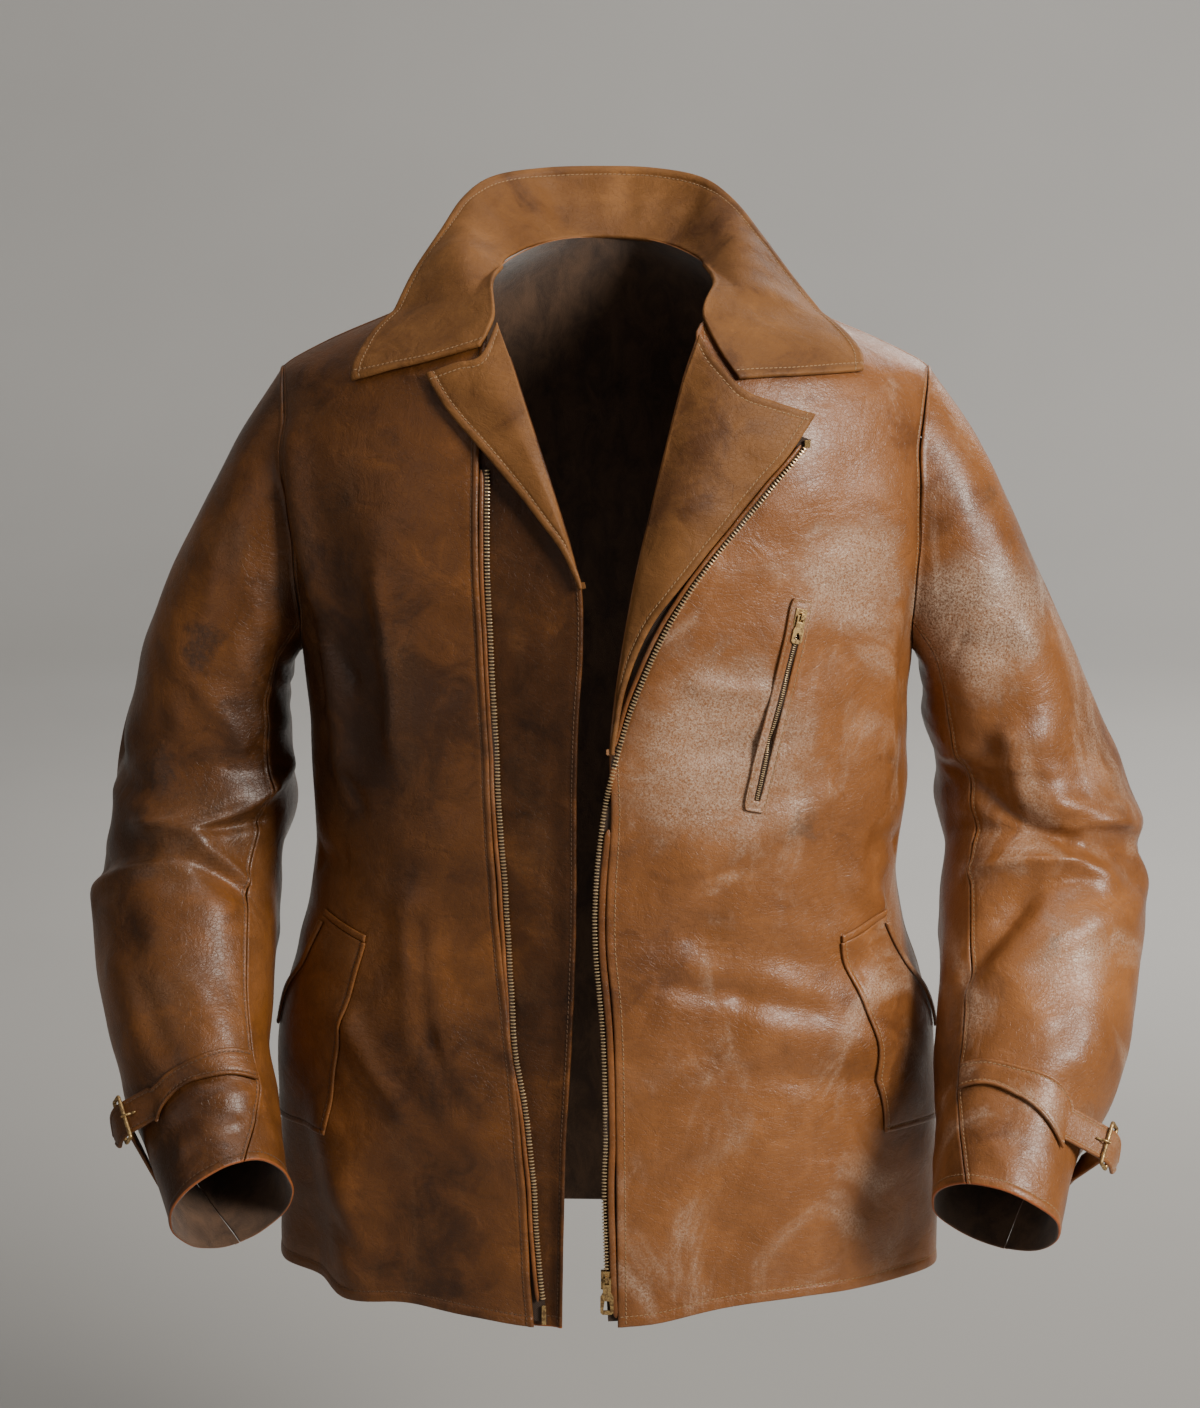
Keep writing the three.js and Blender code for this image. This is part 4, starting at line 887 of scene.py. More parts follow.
@dataclass
class Panel:
    """A panel of leather: a grid of points with its normals, and how its four edges end.

    The grid's rows run down the panel and its columns across. The outer face is the grid, moved in near each
    edge by a quarter circle, out by a half sine between an edge and its stitches, and in by a narrow bell at
    the stitches. The inner face is the grid moved in by the thickness, with the same quarter circle.
    """

    name: str
    points: Array
    normals: Array
    finish: Finish
    thickness: float = SHELL
    first: Rim = field(default_factory=lambda: SEAM)
    last: Rim = field(default_factory=lambda: SEAM)
    top: Rim = field(default_factory=lambda: SEAM)
    bottom: Rim = field(default_factory=lambda: SEAM)
    loop: bool = False
    thread: Finish = Finish.THREAD
    inside: Finish = Finish.SUEDE
    declared: bool = True

    def distances(self) -> dict[str, Array]:
        """Distance in mm of each grid point from each of the four edges, along its row or column.

        Returns:
            Distances by the edge's name.
        """
        steps_u = np.linalg.norm(np.diff(self.points, axis=1), axis=-1)
        steps_v = np.linalg.norm(np.diff(self.points, axis=0), axis=-1)
        from_first = np.pad(np.cumsum(steps_u, 1), ((0, 0), (1, 0)))
        from_top = np.pad(np.cumsum(steps_v, 0), ((1, 0), (0, 0)))
        return {
            "first": from_first,
            "last": from_first[:, -1:] - from_first,
            "top": from_top,
            "bottom": from_top[-1:] - from_top,
        }

    def rims(self) -> dict[str, Rim]:
        """The edges that the panel really has."""
        ends = {"top": self.top, "bottom": self.bottom}
        return ends if self.loop else {"first": self.first, "last": self.last, **ends}

    def build(self) -> bpy.types.Object:
        """Makes the closed panel, which stands for the solid of its name, and its stitches.

        Returns:
            The panel's object.
        """
        away = self.distances()
        drop = np.zeros(self.points.shape[:2])
        height = np.zeros(self.points.shape[:2])
        edge = np.full(self.points.shape[:2], PLAIN)
        for key, rim in self.rims().items():
            d = away[key]
            radius = min(rim.round, ROUND_SHARE * self.thickness)
            inside = np.clip(radius - d, 0, radius)
            drop = np.maximum(drop, radius - np.sqrt(np.maximum(radius**2 - inside**2, 0)))
            roll = rim.stitch or PLAIN_ROLL
            height += rim.puff * np.sin(math.pi * np.clip(d / roll, 0, 1))
            if rim.stitch:
                height -= STITCH_DIP * np.exp(-(((d - rim.stitch) / STITCH_BELL) ** 2))
            edge = np.minimum(edge, d if rim.raw else d + SEWN_IN)
        outer = self.points + self.normals * (height - drop)[..., None]
        inner = self.points - self.normals * (self.thickness - drop)[..., None]
        rows, columns = drop.shape
        grid = np.arange(rows * columns).reshape(rows, columns)
        if self.loop:
            grid = np.concatenate([grid, grid[:, :1]], 1)
        a, b, c, d = grid[:-1, :-1], grid[:-1, 1:], grid[1:, 1:], grid[1:, :-1]
        face = np.stack([a, b, c, d], -1).reshape(-1, 4)
        n = rows * columns
        back = face[:, ::-1] + n
        parts, marks = [face, back], [np.zeros(len(face), int), np.ones(len(back), int)]
        walls = [grid[0, ::-1], grid[-1]]
        if not self.loop:
            walls += [grid[:, 0], grid[::-1, -1]]
        for run in walls:
            rim_faces = np.stack([run[:-1], run[:-1] + n, run[1:] + n, run[1:]], -1)[:, ::-1]
            parts.append(rim_faces)
            marks.append(np.zeros(len(rim_faces), int))
        obj = new_piece(
            self.name,
            np.concatenate([outer.reshape(-1, 3), inner.reshape(-1, 3)]),
            np.concatenate(parts),
            (self.finish, self.inside),
            [self.name],
            slots=np.concatenate(marks),
            edge=np.concatenate([edge.ravel(), edge.ravel()]),
            crease=70.0,
        )
        self.sew(obj, outer, away)
        if self.declared:
            self.declare(away)
        return obj

    def declare(self, away: dict[str, Array]) -> None:
        """Args:
            away: Distances from its edges.
        """
        across, down = (away["first"] + away["last"]).max(), (away["top"] + away["bottom"]).max()
        sides = np.diff(self.points, axis=1)[:-1], np.diff(self.points, axis=0)[:, :-1]
        measured = np.linalg.norm(np.cross(*sides), axis=-1).sum() * MM * MM
        LOG.info("%s measures %.0f x %.0f mm, %.5f m2", self.name, across, down, measured)

    def sew(self, obj: bpy.types.Object, outer: Array, away: dict[str, Array]) -> None:
        """Lays the stitches of every edge that has them, as one piece that goes with the panel.

        Args:
            obj: The panel.
            outer: Its outer face.
            away: Distances from its edges.
        """
        rims = [(key, rim) for key, rim in self.rims().items() if rim.stitch]
        runs = [self.seam_line(outer, away[key], key, rim) for key, rim in rims]
        if runs:
            stitches(f"{self.name}_stitches", runs, self.thread, obj)

    def seam_line(self, outer: Array, away: Array, key: str, rim: Rim) -> tuple[Array, Array]:
        """Points and normals of an edge's line of stitches, found along each row or column.

        Args:
            outer: The outer face's points.
            away: Distance of each point from the edge.
            key: Which edge it is.
            rim: How that edge ends.

        Returns:
            The line's points and its normals.
        """
        points, normals, d, row = outer, self.normals, away, rim.stitch
        if key in ("top", "bottom"):
            points, normals, d = (np.swapaxes(x, 0, 1) for x in (points, normals, d))
        if key in ("last", "bottom"):
            points, normals, d = points[:, ::-1], normals[:, ::-1], d[:, ::-1]
        long = d[:, -1] > row + 4
        points, normals, d = points[long], normals[long], d[long]
        i = np.clip((d < row).sum(1) - 1, 0, d.shape[1] - 2)
        k = np.arange(len(d))
        t = ((row - d[k, i]) / np.maximum(d[k, i + 1] - d[k, i], 1e-6))[:, None]
        keep = slice(2 + int(rim.span[0] * len(d)), int(rim.span[1] * len(d)) - 2)
        way = unit(mix(normals[k, i], normals[k, i + 1], t))
        return mix(points[k, i], points[k, i + 1], t)[keep], way[keep]


def resample(points: Array, values: Array, pitch: float) -> tuple[Array, Array, Array]:
    """Even places along a run of points.

    Args:
        points: The run's points.
        values: A vector at each point, such as its normal.
        pitch: Distance between places.

    Returns:
        The places, the tangent at each and the vector at each.
    """
    length = np.pad(np.cumsum(np.linalg.norm(np.diff(points, axis=0), axis=1)), (1, 0))
    at = np.arange(pitch / 2, length[-1], pitch)
    near = 0.6

    def read(rows: Array, shift: float) -> Array:
        """Rows at the places, moved along the run by a shift."""
        return np.stack([np.interp(at + shift, length, rows[:, k]) for k in range(3)], 1)

    return read(points, 0.0), unit(read(points, near) - read(points, -near)), unit(read(values, 0.0))


def scatter(shape: Array, faces: Array, place: Array, frames: Array) -> tuple[Array, Array]:
    """Copies of one small shape: each is its points turned by a frame and moved to a place.

    Args:
        shape: The shape's points.
        faces: The shape's faces.
        place: Where each copy goes.
        frames: Each copy's x, y and z directions, as rows.

    Returns:
        Points and faces of all the copies.
    """
    points = place[:, None, :] + np.einsum("kc,ncd->nkd", shape, frames)
    numbers = faces[None] + (np.arange(len(place)) * len(shape))[:, None, None]
    return points.reshape(-1, 3), numbers.reshape(-1, faces.shape[1])


def ring_faces(grid: Array) -> Array:
    """Faces round a tube whose rings are the rows of a grid."""
    beside = np.roll(grid, -1, 1)
    return np.stack([grid[:-1], beside[:-1], beside[1:], grid[1:]], -1).reshape(-1, 4)


def end_faces(grid: Array) -> Array:
    """Faces that close both ends of a tube whose rings are the rows of a grid."""
    ends, count = (grid[0][::-1], grid[-1]), grid.shape[1] // 2 - 1
    return np.array([[r[k], r[k + 1], r[-k - 2], r[-k - 1]] for r in ends for k in range(count)])


def bead(length: float, radius: float, sides: int = 6, flat: float = 0.7) -> tuple[Array, Array]:
    """A grain along x: rings whose radius follows a half circle to the power 0.4, closed by tiny ends.

    Args:
        length: Its length.
        radius: Its largest radius.
        sides: Sides of each ring.
        flat: Height as a share of width.

    Returns:
        Points and faces.
    """
    rings = 6
    ring = np.linspace(-1, 1, rings)
    around = np.arange(sides) / sides * 2 * math.pi
    wide = radius * np.maximum(1 - ring**2, 0.02) ** 0.4
    x = np.repeat(ring * length / 2, sides)
    y = (wide[:, None] * np.cos(around)).ravel()
    z = (wide[:, None] * np.sin(around) * flat).ravel()
    grid = np.arange(rings * sides).reshape(rings, sides)
    return np.stack([x, y, z], 1), np.concatenate([ring_faces(grid), end_faces(grid)])


def stitches(
    name: str, runs: Sequence[tuple[Array, Array]], thread: Finish, parent: bpy.types.Object
) -> None:
    """Stitches along seam lines: a thread grain at each pitch, half sunk, turned a little off the line.

    Args:
        name: The piece's name.
        runs: Each seam line's points and normals.
        thread: The thread's finish.
        parent: The panel that it is sewn on.
    """
    pitch, long, radius, sunk = 3.4, 2.7, 0.42, 0.12
    shape, faces = bead(long, radius)
    places, frames = [], []
    for points, normals in runs:
        place, tangent, normal = resample(points, normals, pitch)
        across = unit(np.cross(normal, tangent))
        slant = unit(tangent + 0.12 * across)
        places.append(place + normal * sunk)
        frames.append(np.stack([slant, unit(np.cross(normal, slant)), normal], 1))
    points, numbers = scatter(shape, faces, np.concatenate(places), np.concatenate(frames))
    obj = new_piece(name, points, numbers, (thread,))
    obj.parent = parent


def spread(count: int, length: float, near: Sequence[float] = EDGE_PLACES) -> Array:
    """Places from 0 to 1, even in the middle and close together near both ends.

    Args:
        count: Even steps.
        length: Length in mm that the places cover.
        near: Distances in mm from each end that get a place of their own.

    Returns:
        The places in rising order.
    """
    close = np.asarray(near) / length
    even = np.linspace(0, 1, count + 1)
    even = even[(even == 0) | (even == 1) | ((even > close[-1] * 1.1) & (even < 1 - close[-1] * 1.1))]
    return np.sort(np.concatenate([even, close, 1 - close]))


def grid_normals(points: Array, outward: Array) -> Array:
    """Normals of a grid of points by differences of its neighbours, on the side that outward gives.

    Args:
        points: The grid.
        outward: Rough way out.

    Returns:
        Unit normals.
    """
    across = np.gradient(points, axis=1)
    down = np.gradient(points, axis=0)
    normals = unit(np.cross(across, down))
    return np.where((normals * outward).sum(-1, keepdims=True) < 0, -normals, normals)


@dataclass
class TrunkPanels:
    """The back, the two fronts and the strip behind the right zip."""

    shoulder_rows: int = 14
    armhole_rows: int = 34
    lower_rows: int = 84
    front_columns: int = 58
    back_columns: int = 96
    flap_lift: float = -(SHELL + TAPE + 2 * LAYER + GAP)
    flap_edge_lift: float = -1.5
    flap_under: float = 12.0
    flap_turn: float = 0.72
    nape_level: float = 2.4
    nape_flank: float = 3.0
    neck: float = -1.5
    shoulder: float = 66.0
    flap_top: float = -50.0

    def side(self, side: int, backward: bool) -> tuple[Array, Array, Array]:
        """Rows of a panel from the shoulder to the hem.

        Args:
            side: 1 at the left and -1 at the right.
            backward: True for the back.

        Returns:
            Each row's level, its angle at the side, and whether it ends at a seam.
        """
        places = spread(self.shoulder_rows, self.shoulder, (0.4, 1.2, 2.4))[:-3]
        top = self.neck - self.shoulder * places
        pit = ARMHOLE.height - ARMHOLE.rise
        turns = np.linspace(0, math.pi, self.armhole_rows)
        low = pit + (HEM - pit) * spread(self.lower_rows, pit - HEM)[1:]
        level, angle = ARMHOLE.place(turns, side, backward)
        levels = np.concatenate([top, level, low])

        def seam(at: Array) -> Array:
            """Angle of the side seam.

            Args:
                at: Levels in mm.

            Returns:
                Angles in radians, half a gap to one side of it.
            """
            front, back, deep = (curve(TRUNK_RINGS, at)[..., k] for k in (2, 3, 5))
            bend = np.arcsin((GAP / (back if backward else front)) ** (deep / 2)) * (1 if backward else -1)
            return bend if side > 0 else math.pi - bend

        ends = np.isclose(turns, 0) | np.isclose(turns, math.pi)
        angles = np.concatenate([seam(top), np.where(ends, seam(level), angle), seam(low)])
        seams = np.concatenate([np.ones(len(top), bool), ends, np.ones(len(low), bool)])
        order = np.argsort(-levels, kind="stable")
        return levels[order], angles[order], seams[order]

    @staticmethod
    def square(normals: Array, seams: Array, column: int) -> Array:
        """Normals with y taken out at a side seam, so that both panels end square there.

        Args:
            normals: The panel's normals.
            seams: Rows that end at a seam.
            column: The column at the seam.

        Returns:
            The normals.
        """
        flat = normals[:, column] * np.array([1.0, 0.0, 1.0])
        normals[:, column] = np.where(seams[:, None], unit(flat), normals[:, column])
        return normals

    def front(self, side: int, inner: Sequence[Sequence[float]], name: str, finish: Finish) -> None:
        """One front, from its inner edge to the side seam and armhole.

        Args:
            side: 1 at the left and -1 at the right.
            inner: Rows of level and x of the inner edge.
            name: The piece's name.
            finish: Its leather.
        """
        level, outer, seams = self.side(side, False)
        outer = outer - 2 * math.pi * np.round((outer + math.pi / 2) / (2 * math.pi))
        top = ROLL_TOP[side]
        held = np.minimum(level, top)
        opened = TRUNK.front_angle(line(inner, held), held)
        neck = mix(mix(outer, opened, 0.1), opened, step(level, 0, top) ** 0.7)
        start = np.where(level > top, neck, opened)
        u = spread(self.front_columns, 260.0)
        angle = mix(start[:, None], outer[:, None], u[None, :])
        levels = np.broadcast_to(level[:, None], angle.shape)
        points = TRUNK.skin(angle, levels)
        normals = self.square(TRUNK.normal(angle, levels), seams, -1)
        first = Rim(0.9, 0.5, 6.0) if side > 0 else Rim(0.9, 0.9, 5.0)
        thread = Finish.THREAD if side > 0 else Finish.THREAD_DARK
        open_rows = np.flatnonzero(~seams) / len(seams)
        last = Rim(0.7, 0.35, 2.8, span=(open_rows[0], open_rows[-1]))
        Panel(name, points, normals, finish, first=first, last=last, bottom=FOOT, thread=thread).build()

    def back(self) -> None:
        """The back, from side to side."""
        level, start, seams = self.side(1, True)
        _, end, _ = self.side(-1, True)
        end = end - 2 * math.pi * np.round((end - math.pi / 2) / (2 * math.pi))
        level = np.concatenate([[self.nape_level], level[1:]])
        angle = mix(start[:, None], end[:, None], spread(self.back_columns, 520.0)[None, :])
        levels = np.tile(level[:, None], (1, angle.shape[1]))
        levels[0] += self.nape_flank * np.abs(np.sin(2 * angle[0]))
        normals = TRUNK.normal(angle, levels)
        normals = self.square(self.square(normals, seams, 0), seams, -1)
        Panel("back", TRUNK.skin(angle, levels), normals, Finish.TAN, bottom=FOOT).build()

    def flap(self) -> None:
        """The strip behind the right zip: it starts under the front and rises level with it at its edge."""
        u = spread(26, 45.0)
        level = self.flap_top + (HEM - self.flap_top) * spread(130, self.flap_top - HEM)
        u, level = np.meshgrid(u, level)
        x = mix(line(ZIP_PANEL_RIGHT, level) - self.flap_under, line(EDGE_RIGHT, level), u)
        lift = mix(self.flap_lift, self.flap_edge_lift, step(u, self.flap_turn, 1))
        points = TRUNK.on_front(x, level, lift)
        normals = grid_normals(points, np.array([0.0, -1.0, 0.0]))
        last = Rim(0.95, 0.75, 3.6)
        bottom = Rim(0.9, 0.35, 8.0, raw=True)
        Panel(
            "wind_flap_right", points, normals, Finish.FLAP, last=last, bottom=bottom,
            thread=Finish.THREAD_DARK,
        ).build()

    def build(self) -> None:
        """Builds all four."""
        self.back()
        self.front(1, EDGE_LEFT, "front_left", Finish.TAN)
        self.front(-1, ZIP_PANEL_RIGHT, "front_right", Finish.BROWN)
        self.flap()


@dataclass
class Lapel:
    """A turned front: a face from the roll line to its outer edge, over the front."""

    side: int
    name: str
    gorge: tuple[float, float]
    middle: tuple[float, float]
    point: tuple[float, float]
    edge: tuple[tuple[float, float, float], ...]
    lift: tuple[tuple[float, float], ...]
    finish: Finish
    last: Rim
    foot: float = 1.0

    def face(self, u: Array, v: Array) -> Array:
        """Face from its top at u 0 to its foot at u 1, and from the roll at v 0 to the outer edge at v 1.

        Each point is a blend from the roll to the outer edge, and near the top it moves to the gorge line.

        Args:
            u: Place down it.
            v: Place across it.

        Returns:
            Points in mm.
        """
        roll = EDGE_LEFT if self.side > 0 else EDGE_RIGHT
        top = ROLL_TOP[self.side]
        start = np.array([line(roll, top - 2), top - 2])
        share = 0.45 if self.side > 0 else 0.25
        rows = ((0, *start), (share, *self.gorge), (0.5 + share / 2, *self.middle), (1, *self.point))
        level = mix(start[1], self.edge[-1][2], u)
        inner = np.stack([line(roll, level), level], -1)
        outer = curve(self.edge, u)
        corner = np.array(self.edge[0][1:])
        pull = curve(rows, v) - mix(start, corner, v[..., None])
        flat = mix(inner, outer, v[..., None]) + (1 - u)[..., None] ** 3 * pull
        lift = (line(self.lift, v) + self.wave(u, v)) * mix(1.0, self.foot, step(u, 0.7, 1))
        return TRUNK.on_front(flat[..., 0], flat[..., 1], lift)

    def wave(self, u: Array, v: Array) -> Array:
        """Soft dents of the turned leather: two slow waves down it that grow towards its outer edge."""
        grow = np.clip(v, 0, 1) ** 1.5 * np.clip(u, 0, 1) * (1 - np.clip(u, 0, 1))
        return grow * (2.4 * np.sin(9 * u + 1.2 * self.side) + 1.2 * np.sin(21 * u + 0.5))

    def build(self) -> None:
        """Builds the lapel."""
        u, v = np.meshgrid(spread(84, 290.0), spread(36, 60.0))
        points = self.face(u, v)
        normals = grid_normals(points, np.array([0.35 * self.side, -1.0, 0.25]))
        Panel(
            self.name, np.swapaxes(points, 0, 1), np.swapaxes(normals, 0, 1), self.finish, TURNED,
            first=Rim(1.3, 0.0), last=self.last, top=Rim(1.1, 0.4, 6.0), bottom=Rim(0.9),
            inside=self.finish,
        ).build()


LAPELS = (
    Lapel(
        1, "lapel_left", (93, -72), (118, -83), (143, -92),
        (
            (0, 143, -96), (0.12, 121, -125), (0.26, 97, -152), (0.38, 78, -173), (0.5, 61, -194),
            (0.62, 45, -216), (0.74, 31, -243), (0.86, 20, -274), (1, 10.5, -318),
        ),
        ((0, 5.2), (0.25, 7.8), (0.6, 8.5), (1, 7.6)),
        Finish.FACING, Rim(1.1, 0.6, 6.0),
    ),
    Lapel(
        -1, "lapel_right", (-79, -52), (-97, -58), (-117, -65),
        (
            (0, -117, -69), (0.15, -102, -90), (0.35, -72, -121), (0.55, -47, -150), (0.78, -27, -177),
            (1, -14.5, -203),
        ),
        ((0, 2.2), (0.3, 6), (1, 5.2)),
        Finish.FACING, Rim(1.1, 0.7, 6.0), 0.6,
    ),
)


@dataclass
class Collar:
    """The collar: a band along the neck seam that stands up behind and turns down to two points."""

    lift: float = TURNED + 1.4
    roll_at: float = 0.42
    rows: tuple[tuple[float, ...], ...] = (
        (-1, -80, -84, -47, -122, -78, -60, -165, -60, -75),
        (-0.94, -74, -78, -38, -110, -72, -46, -163, -50, -67),
        (-0.88, -70, -68, -27, -94, -56, -25, -156, -32, -50),
        (-0.78, -71, -32, -12, -96, -26, -5, -145, -11, -30),
        (-0.66, -69, -2, -1, -97, 0, 12, -132, 15, -4),
        (-0.54, -66, 20, 5, -92, 26, 24, -113, 45, 24),
        (-0.42, -59, 39, 8, -82, 54, 32, -98, 72, 45),
        (-0.3, -47, 57, 12, -64, 80, 37, -78, 92, 58),
        (-0.15, -26, 73, 15, -34, 98, 39, -42, 111, 63),
        (0, 0, 79, 16, 0, 104, 40, 0, 117, 64),
        (0.15, 26, 73, 15, 34, 98, 39, 40, 111, 63),
        (0.3, 50, 57, 12, 64, 80, 36, 75, 92, 57),
        (0.42, 63, 38, 8, 82, 54, 30, 97, 72, 42),
        (0.54, 70, 20, 5, 94, 26, 21, 117, 45, 18),
        (0.66, 73, -2, -1, 99, 0, 10, 137, 15, -8),
        (0.78, 74, -34, -14, 102, -28, -7, 158, -10, -33),
        (0.88, 67, -70, -30, 104, -56, -26, 172, -30, -50),
        (0.94, 80, -86, -50, 120, -74, -48, 178, -42, -59),
        (1, 93, -96, -67, 136, -82, -66, 177, -56, -68),
    )

    def face(self, along: Array, across: Array) -> Array:
        """Face along the collar (-1 to 1) and across it (0 at the seam, 1 at the outer edge).

        Across it is a cubic through the seam, the roll and the outer edge, and near the points it is lifted
        until it clears the body.

        Args:
            along: Place along it.
            across: Place across it.

        Returns:
            Points in mm.
        """
        row = curve(self.rows, along)
        seam, roll, outer = row[..., 0:3], row[..., 3:6], row[..., 6:9]
        knot = self.roll_at
        low, high = (roll - seam) / knot, (outer - roll) / (1 - knot)
        middle = outer - seam
        under = across[..., None] < knot
        a, b = np.where(under, seam, roll), np.where(under, roll, outer)
        gap = np.where(under, knot, 1 - knot)
        slope_a, slope_b = np.where(under, low, middle), np.where(under, middle, high)
        t = np.clip(np.where(under, across[..., None] / knot, (across[..., None] - knot) / (1 - knot)), 0, 1)
        point = cubic(t, (a, b), (gap * slope_a, gap * slope_b))
        front = step(np.abs(along), 0.6, 0.8)
        cleared = TRUNK.lift_off(point, self.lift * front)
        return np.where(front[..., None] > 0, cleared, point)

    def build(self) -> None:
        """Builds the collar, with slow dents across it and a stitched, piped outer edge."""
        along, across = np.meshgrid(mix(-1.0, 1.0, spread(170, 560.0)), spread(38, 62.0), indexing="ij")
        points = self.face(along, across)
        normals = grid_normals(points, np.array([0.0, 0.0, 1.0]) + 0 * points)
        dents = 1.3 * np.sin(17 * along + 0.6) + 0.9 * np.sin(31 * along + 2.0) + 0.5 * np.sin(57 * along)
        points = points + normals * (dents * np.sin(math.pi * across) ** 1.2 * 0.9)[..., None]
        edge = Rim(1.35, 0.7, 7.0)
        Panel(
            "collar", points, normals, Finish.FACING, TURNED, first=Rim(0.9, 0.3), last=edge, top=edge,
            bottom=edge, inside=Finish.FACING,
        ).build()


@dataclass
class Sleeve:
    """A two-piece sleeve: superellipse rings down the arm, joined to the armhole, with its elbow folds."""

    name: str
    side: int
    finish: Finish
    thread: Finish
    stations: tuple[tuple[float, ...], ...]
    folds: tuple[Fold, ...]
    square: float = 2.2
    seam_front: float = 139.0
    seam_back: float = -60.0
    seam_margin: float = 0.35
    station_length: float = 50.0
    radius: float = 62.0
    wave_seed: float = 0.3

    def ring(self, t: Array) -> tuple[Array, Array, Array]:
        """Centre, half width and depth of the ring at a station.

        Args:
            t: Station.

        Returns:
            Centre, half width and depth.
        """
        ox, oz, ix, iz, y, depth = np.moveaxis(curve(self.stations, t), -1, 0)
        outer, inner = np.stack([ox, y, oz], -1), np.stack([ix, y, iz], -1)
        return (outer + inner) / 2, (outer - inner) / 2, depth

    def face(self, t: Array, turn: Array) -> Array:
        """Points at a station t (0 to 12) and a turn in degrees, 0 outside and 90 in front.

        The ring is a superellipse across the arm, moved out by the folds. Above the first station it blends
        into the armhole.

        Args:
            t: Station.
            turn: Turn in degrees.

        Returns:
            Points in mm.
        """
        t, turn = np.broadcast_arrays(np.asarray(t, float), np.asarray(turn, float))
        centre, half, depth = self.ring(t)
        ahead = self.ring(np.minimum(t + 0.25, 12))[0]
        behind = self.ring(np.maximum(t - 0.25, 0))[0]
        forward = unit(np.cross(ahead - behind, half)) * self.side
        cosine, sine = np.cos(np.radians(turn)), np.sin(np.radians(turn))
        point = centre + half * power(cosine, self.square)[..., None]
        point = point + forward * (depth * power(sine, self.square))[..., None]
        turned = turn % 360
        scale = (self.station_length, math.radians(self.radius))
        high = relief(self.folds, t, turned, scale)
        slow = ripple(t * self.station_length, turn * math.radians(self.radius), self.wave_seed)
        high = high + slow * step(t, 0.4, 1.6)
        point = point + unit(point - centre) * high[..., None]
        bend = np.radians(np.where(turned > 180, 360 - turned, turned))
        front = TRUNK.skin(*ARMHOLE.place(bend, self.side, False)[::-1])
        back = TRUNK.skin(*ARMHOLE.place(bend, self.side, True)[::-1])
        seam = np.where((turned > 180)[..., None], back, front)
        seam = seam + np.array([self.side * ARMHOLE.clear, 0.0, 0.0])
        return mix(point, seam, (1 - step(t, 0, 1))[..., None])

    def normal(self, t: Array, turn: Array) -> Array:
        """Outward normals, in the armhole's plane at the first row.

        Args:
            t: Station.
            turn: Turn in degrees.

        Returns:
            Unit normals.
        """
        inner = slopes(lambda a, b: self.face(b, a), turn, np.clip(t, 0.04, 11.96), 1.2, 0.03) * self.side
        seam = self.face(t, turn) * np.array([0.0, 1.0, 1.0]) - np.array([0.0, 0.0, ARMHOLE.height])
        return np.where((t <= 0.02)[..., None], unit(seam), inner)

    def piece(self, part: str, start: float, end: float, columns: int, cuff: Rim) -> None:
        """One of the sleeve's two pieces, between two turns.

        Args:
            part: "top" or "under".
            start: First turn in degrees.
            end: Last turn in degrees.
            columns: Even steps across it.
            cuff: How its lower end is finished.
        """
        across = mix(start + self.seam_margin, end - self.seam_margin, spread(columns, 200.0))
        t = 12 * spread(150, 640.0)
        turn, t = np.meshgrid(across, t)
        rim = Rim(0.7, 0.45, 2.6) if part == "top" else Rim(0.7, 0.3)
        name = f"sleeve_{self.name}_{part}"
        Panel(
            name, self.face(t, turn), self.normal(t, turn), self.finish, first=rim, last=rim,
            top=Rim(0.7, 0.8), bottom=cuff, thread=self.thread,
        ).build()

    def build(self) -> None:
        """Builds both pieces."""
        cuff = Rim(0.9, 0.5, 7.0, raw=True)
        self.piece("top", self.seam_back, self.seam_front, 60, cuff)
        self.piece("under", self.seam_front, self.seam_back + 360, 46, cuff)


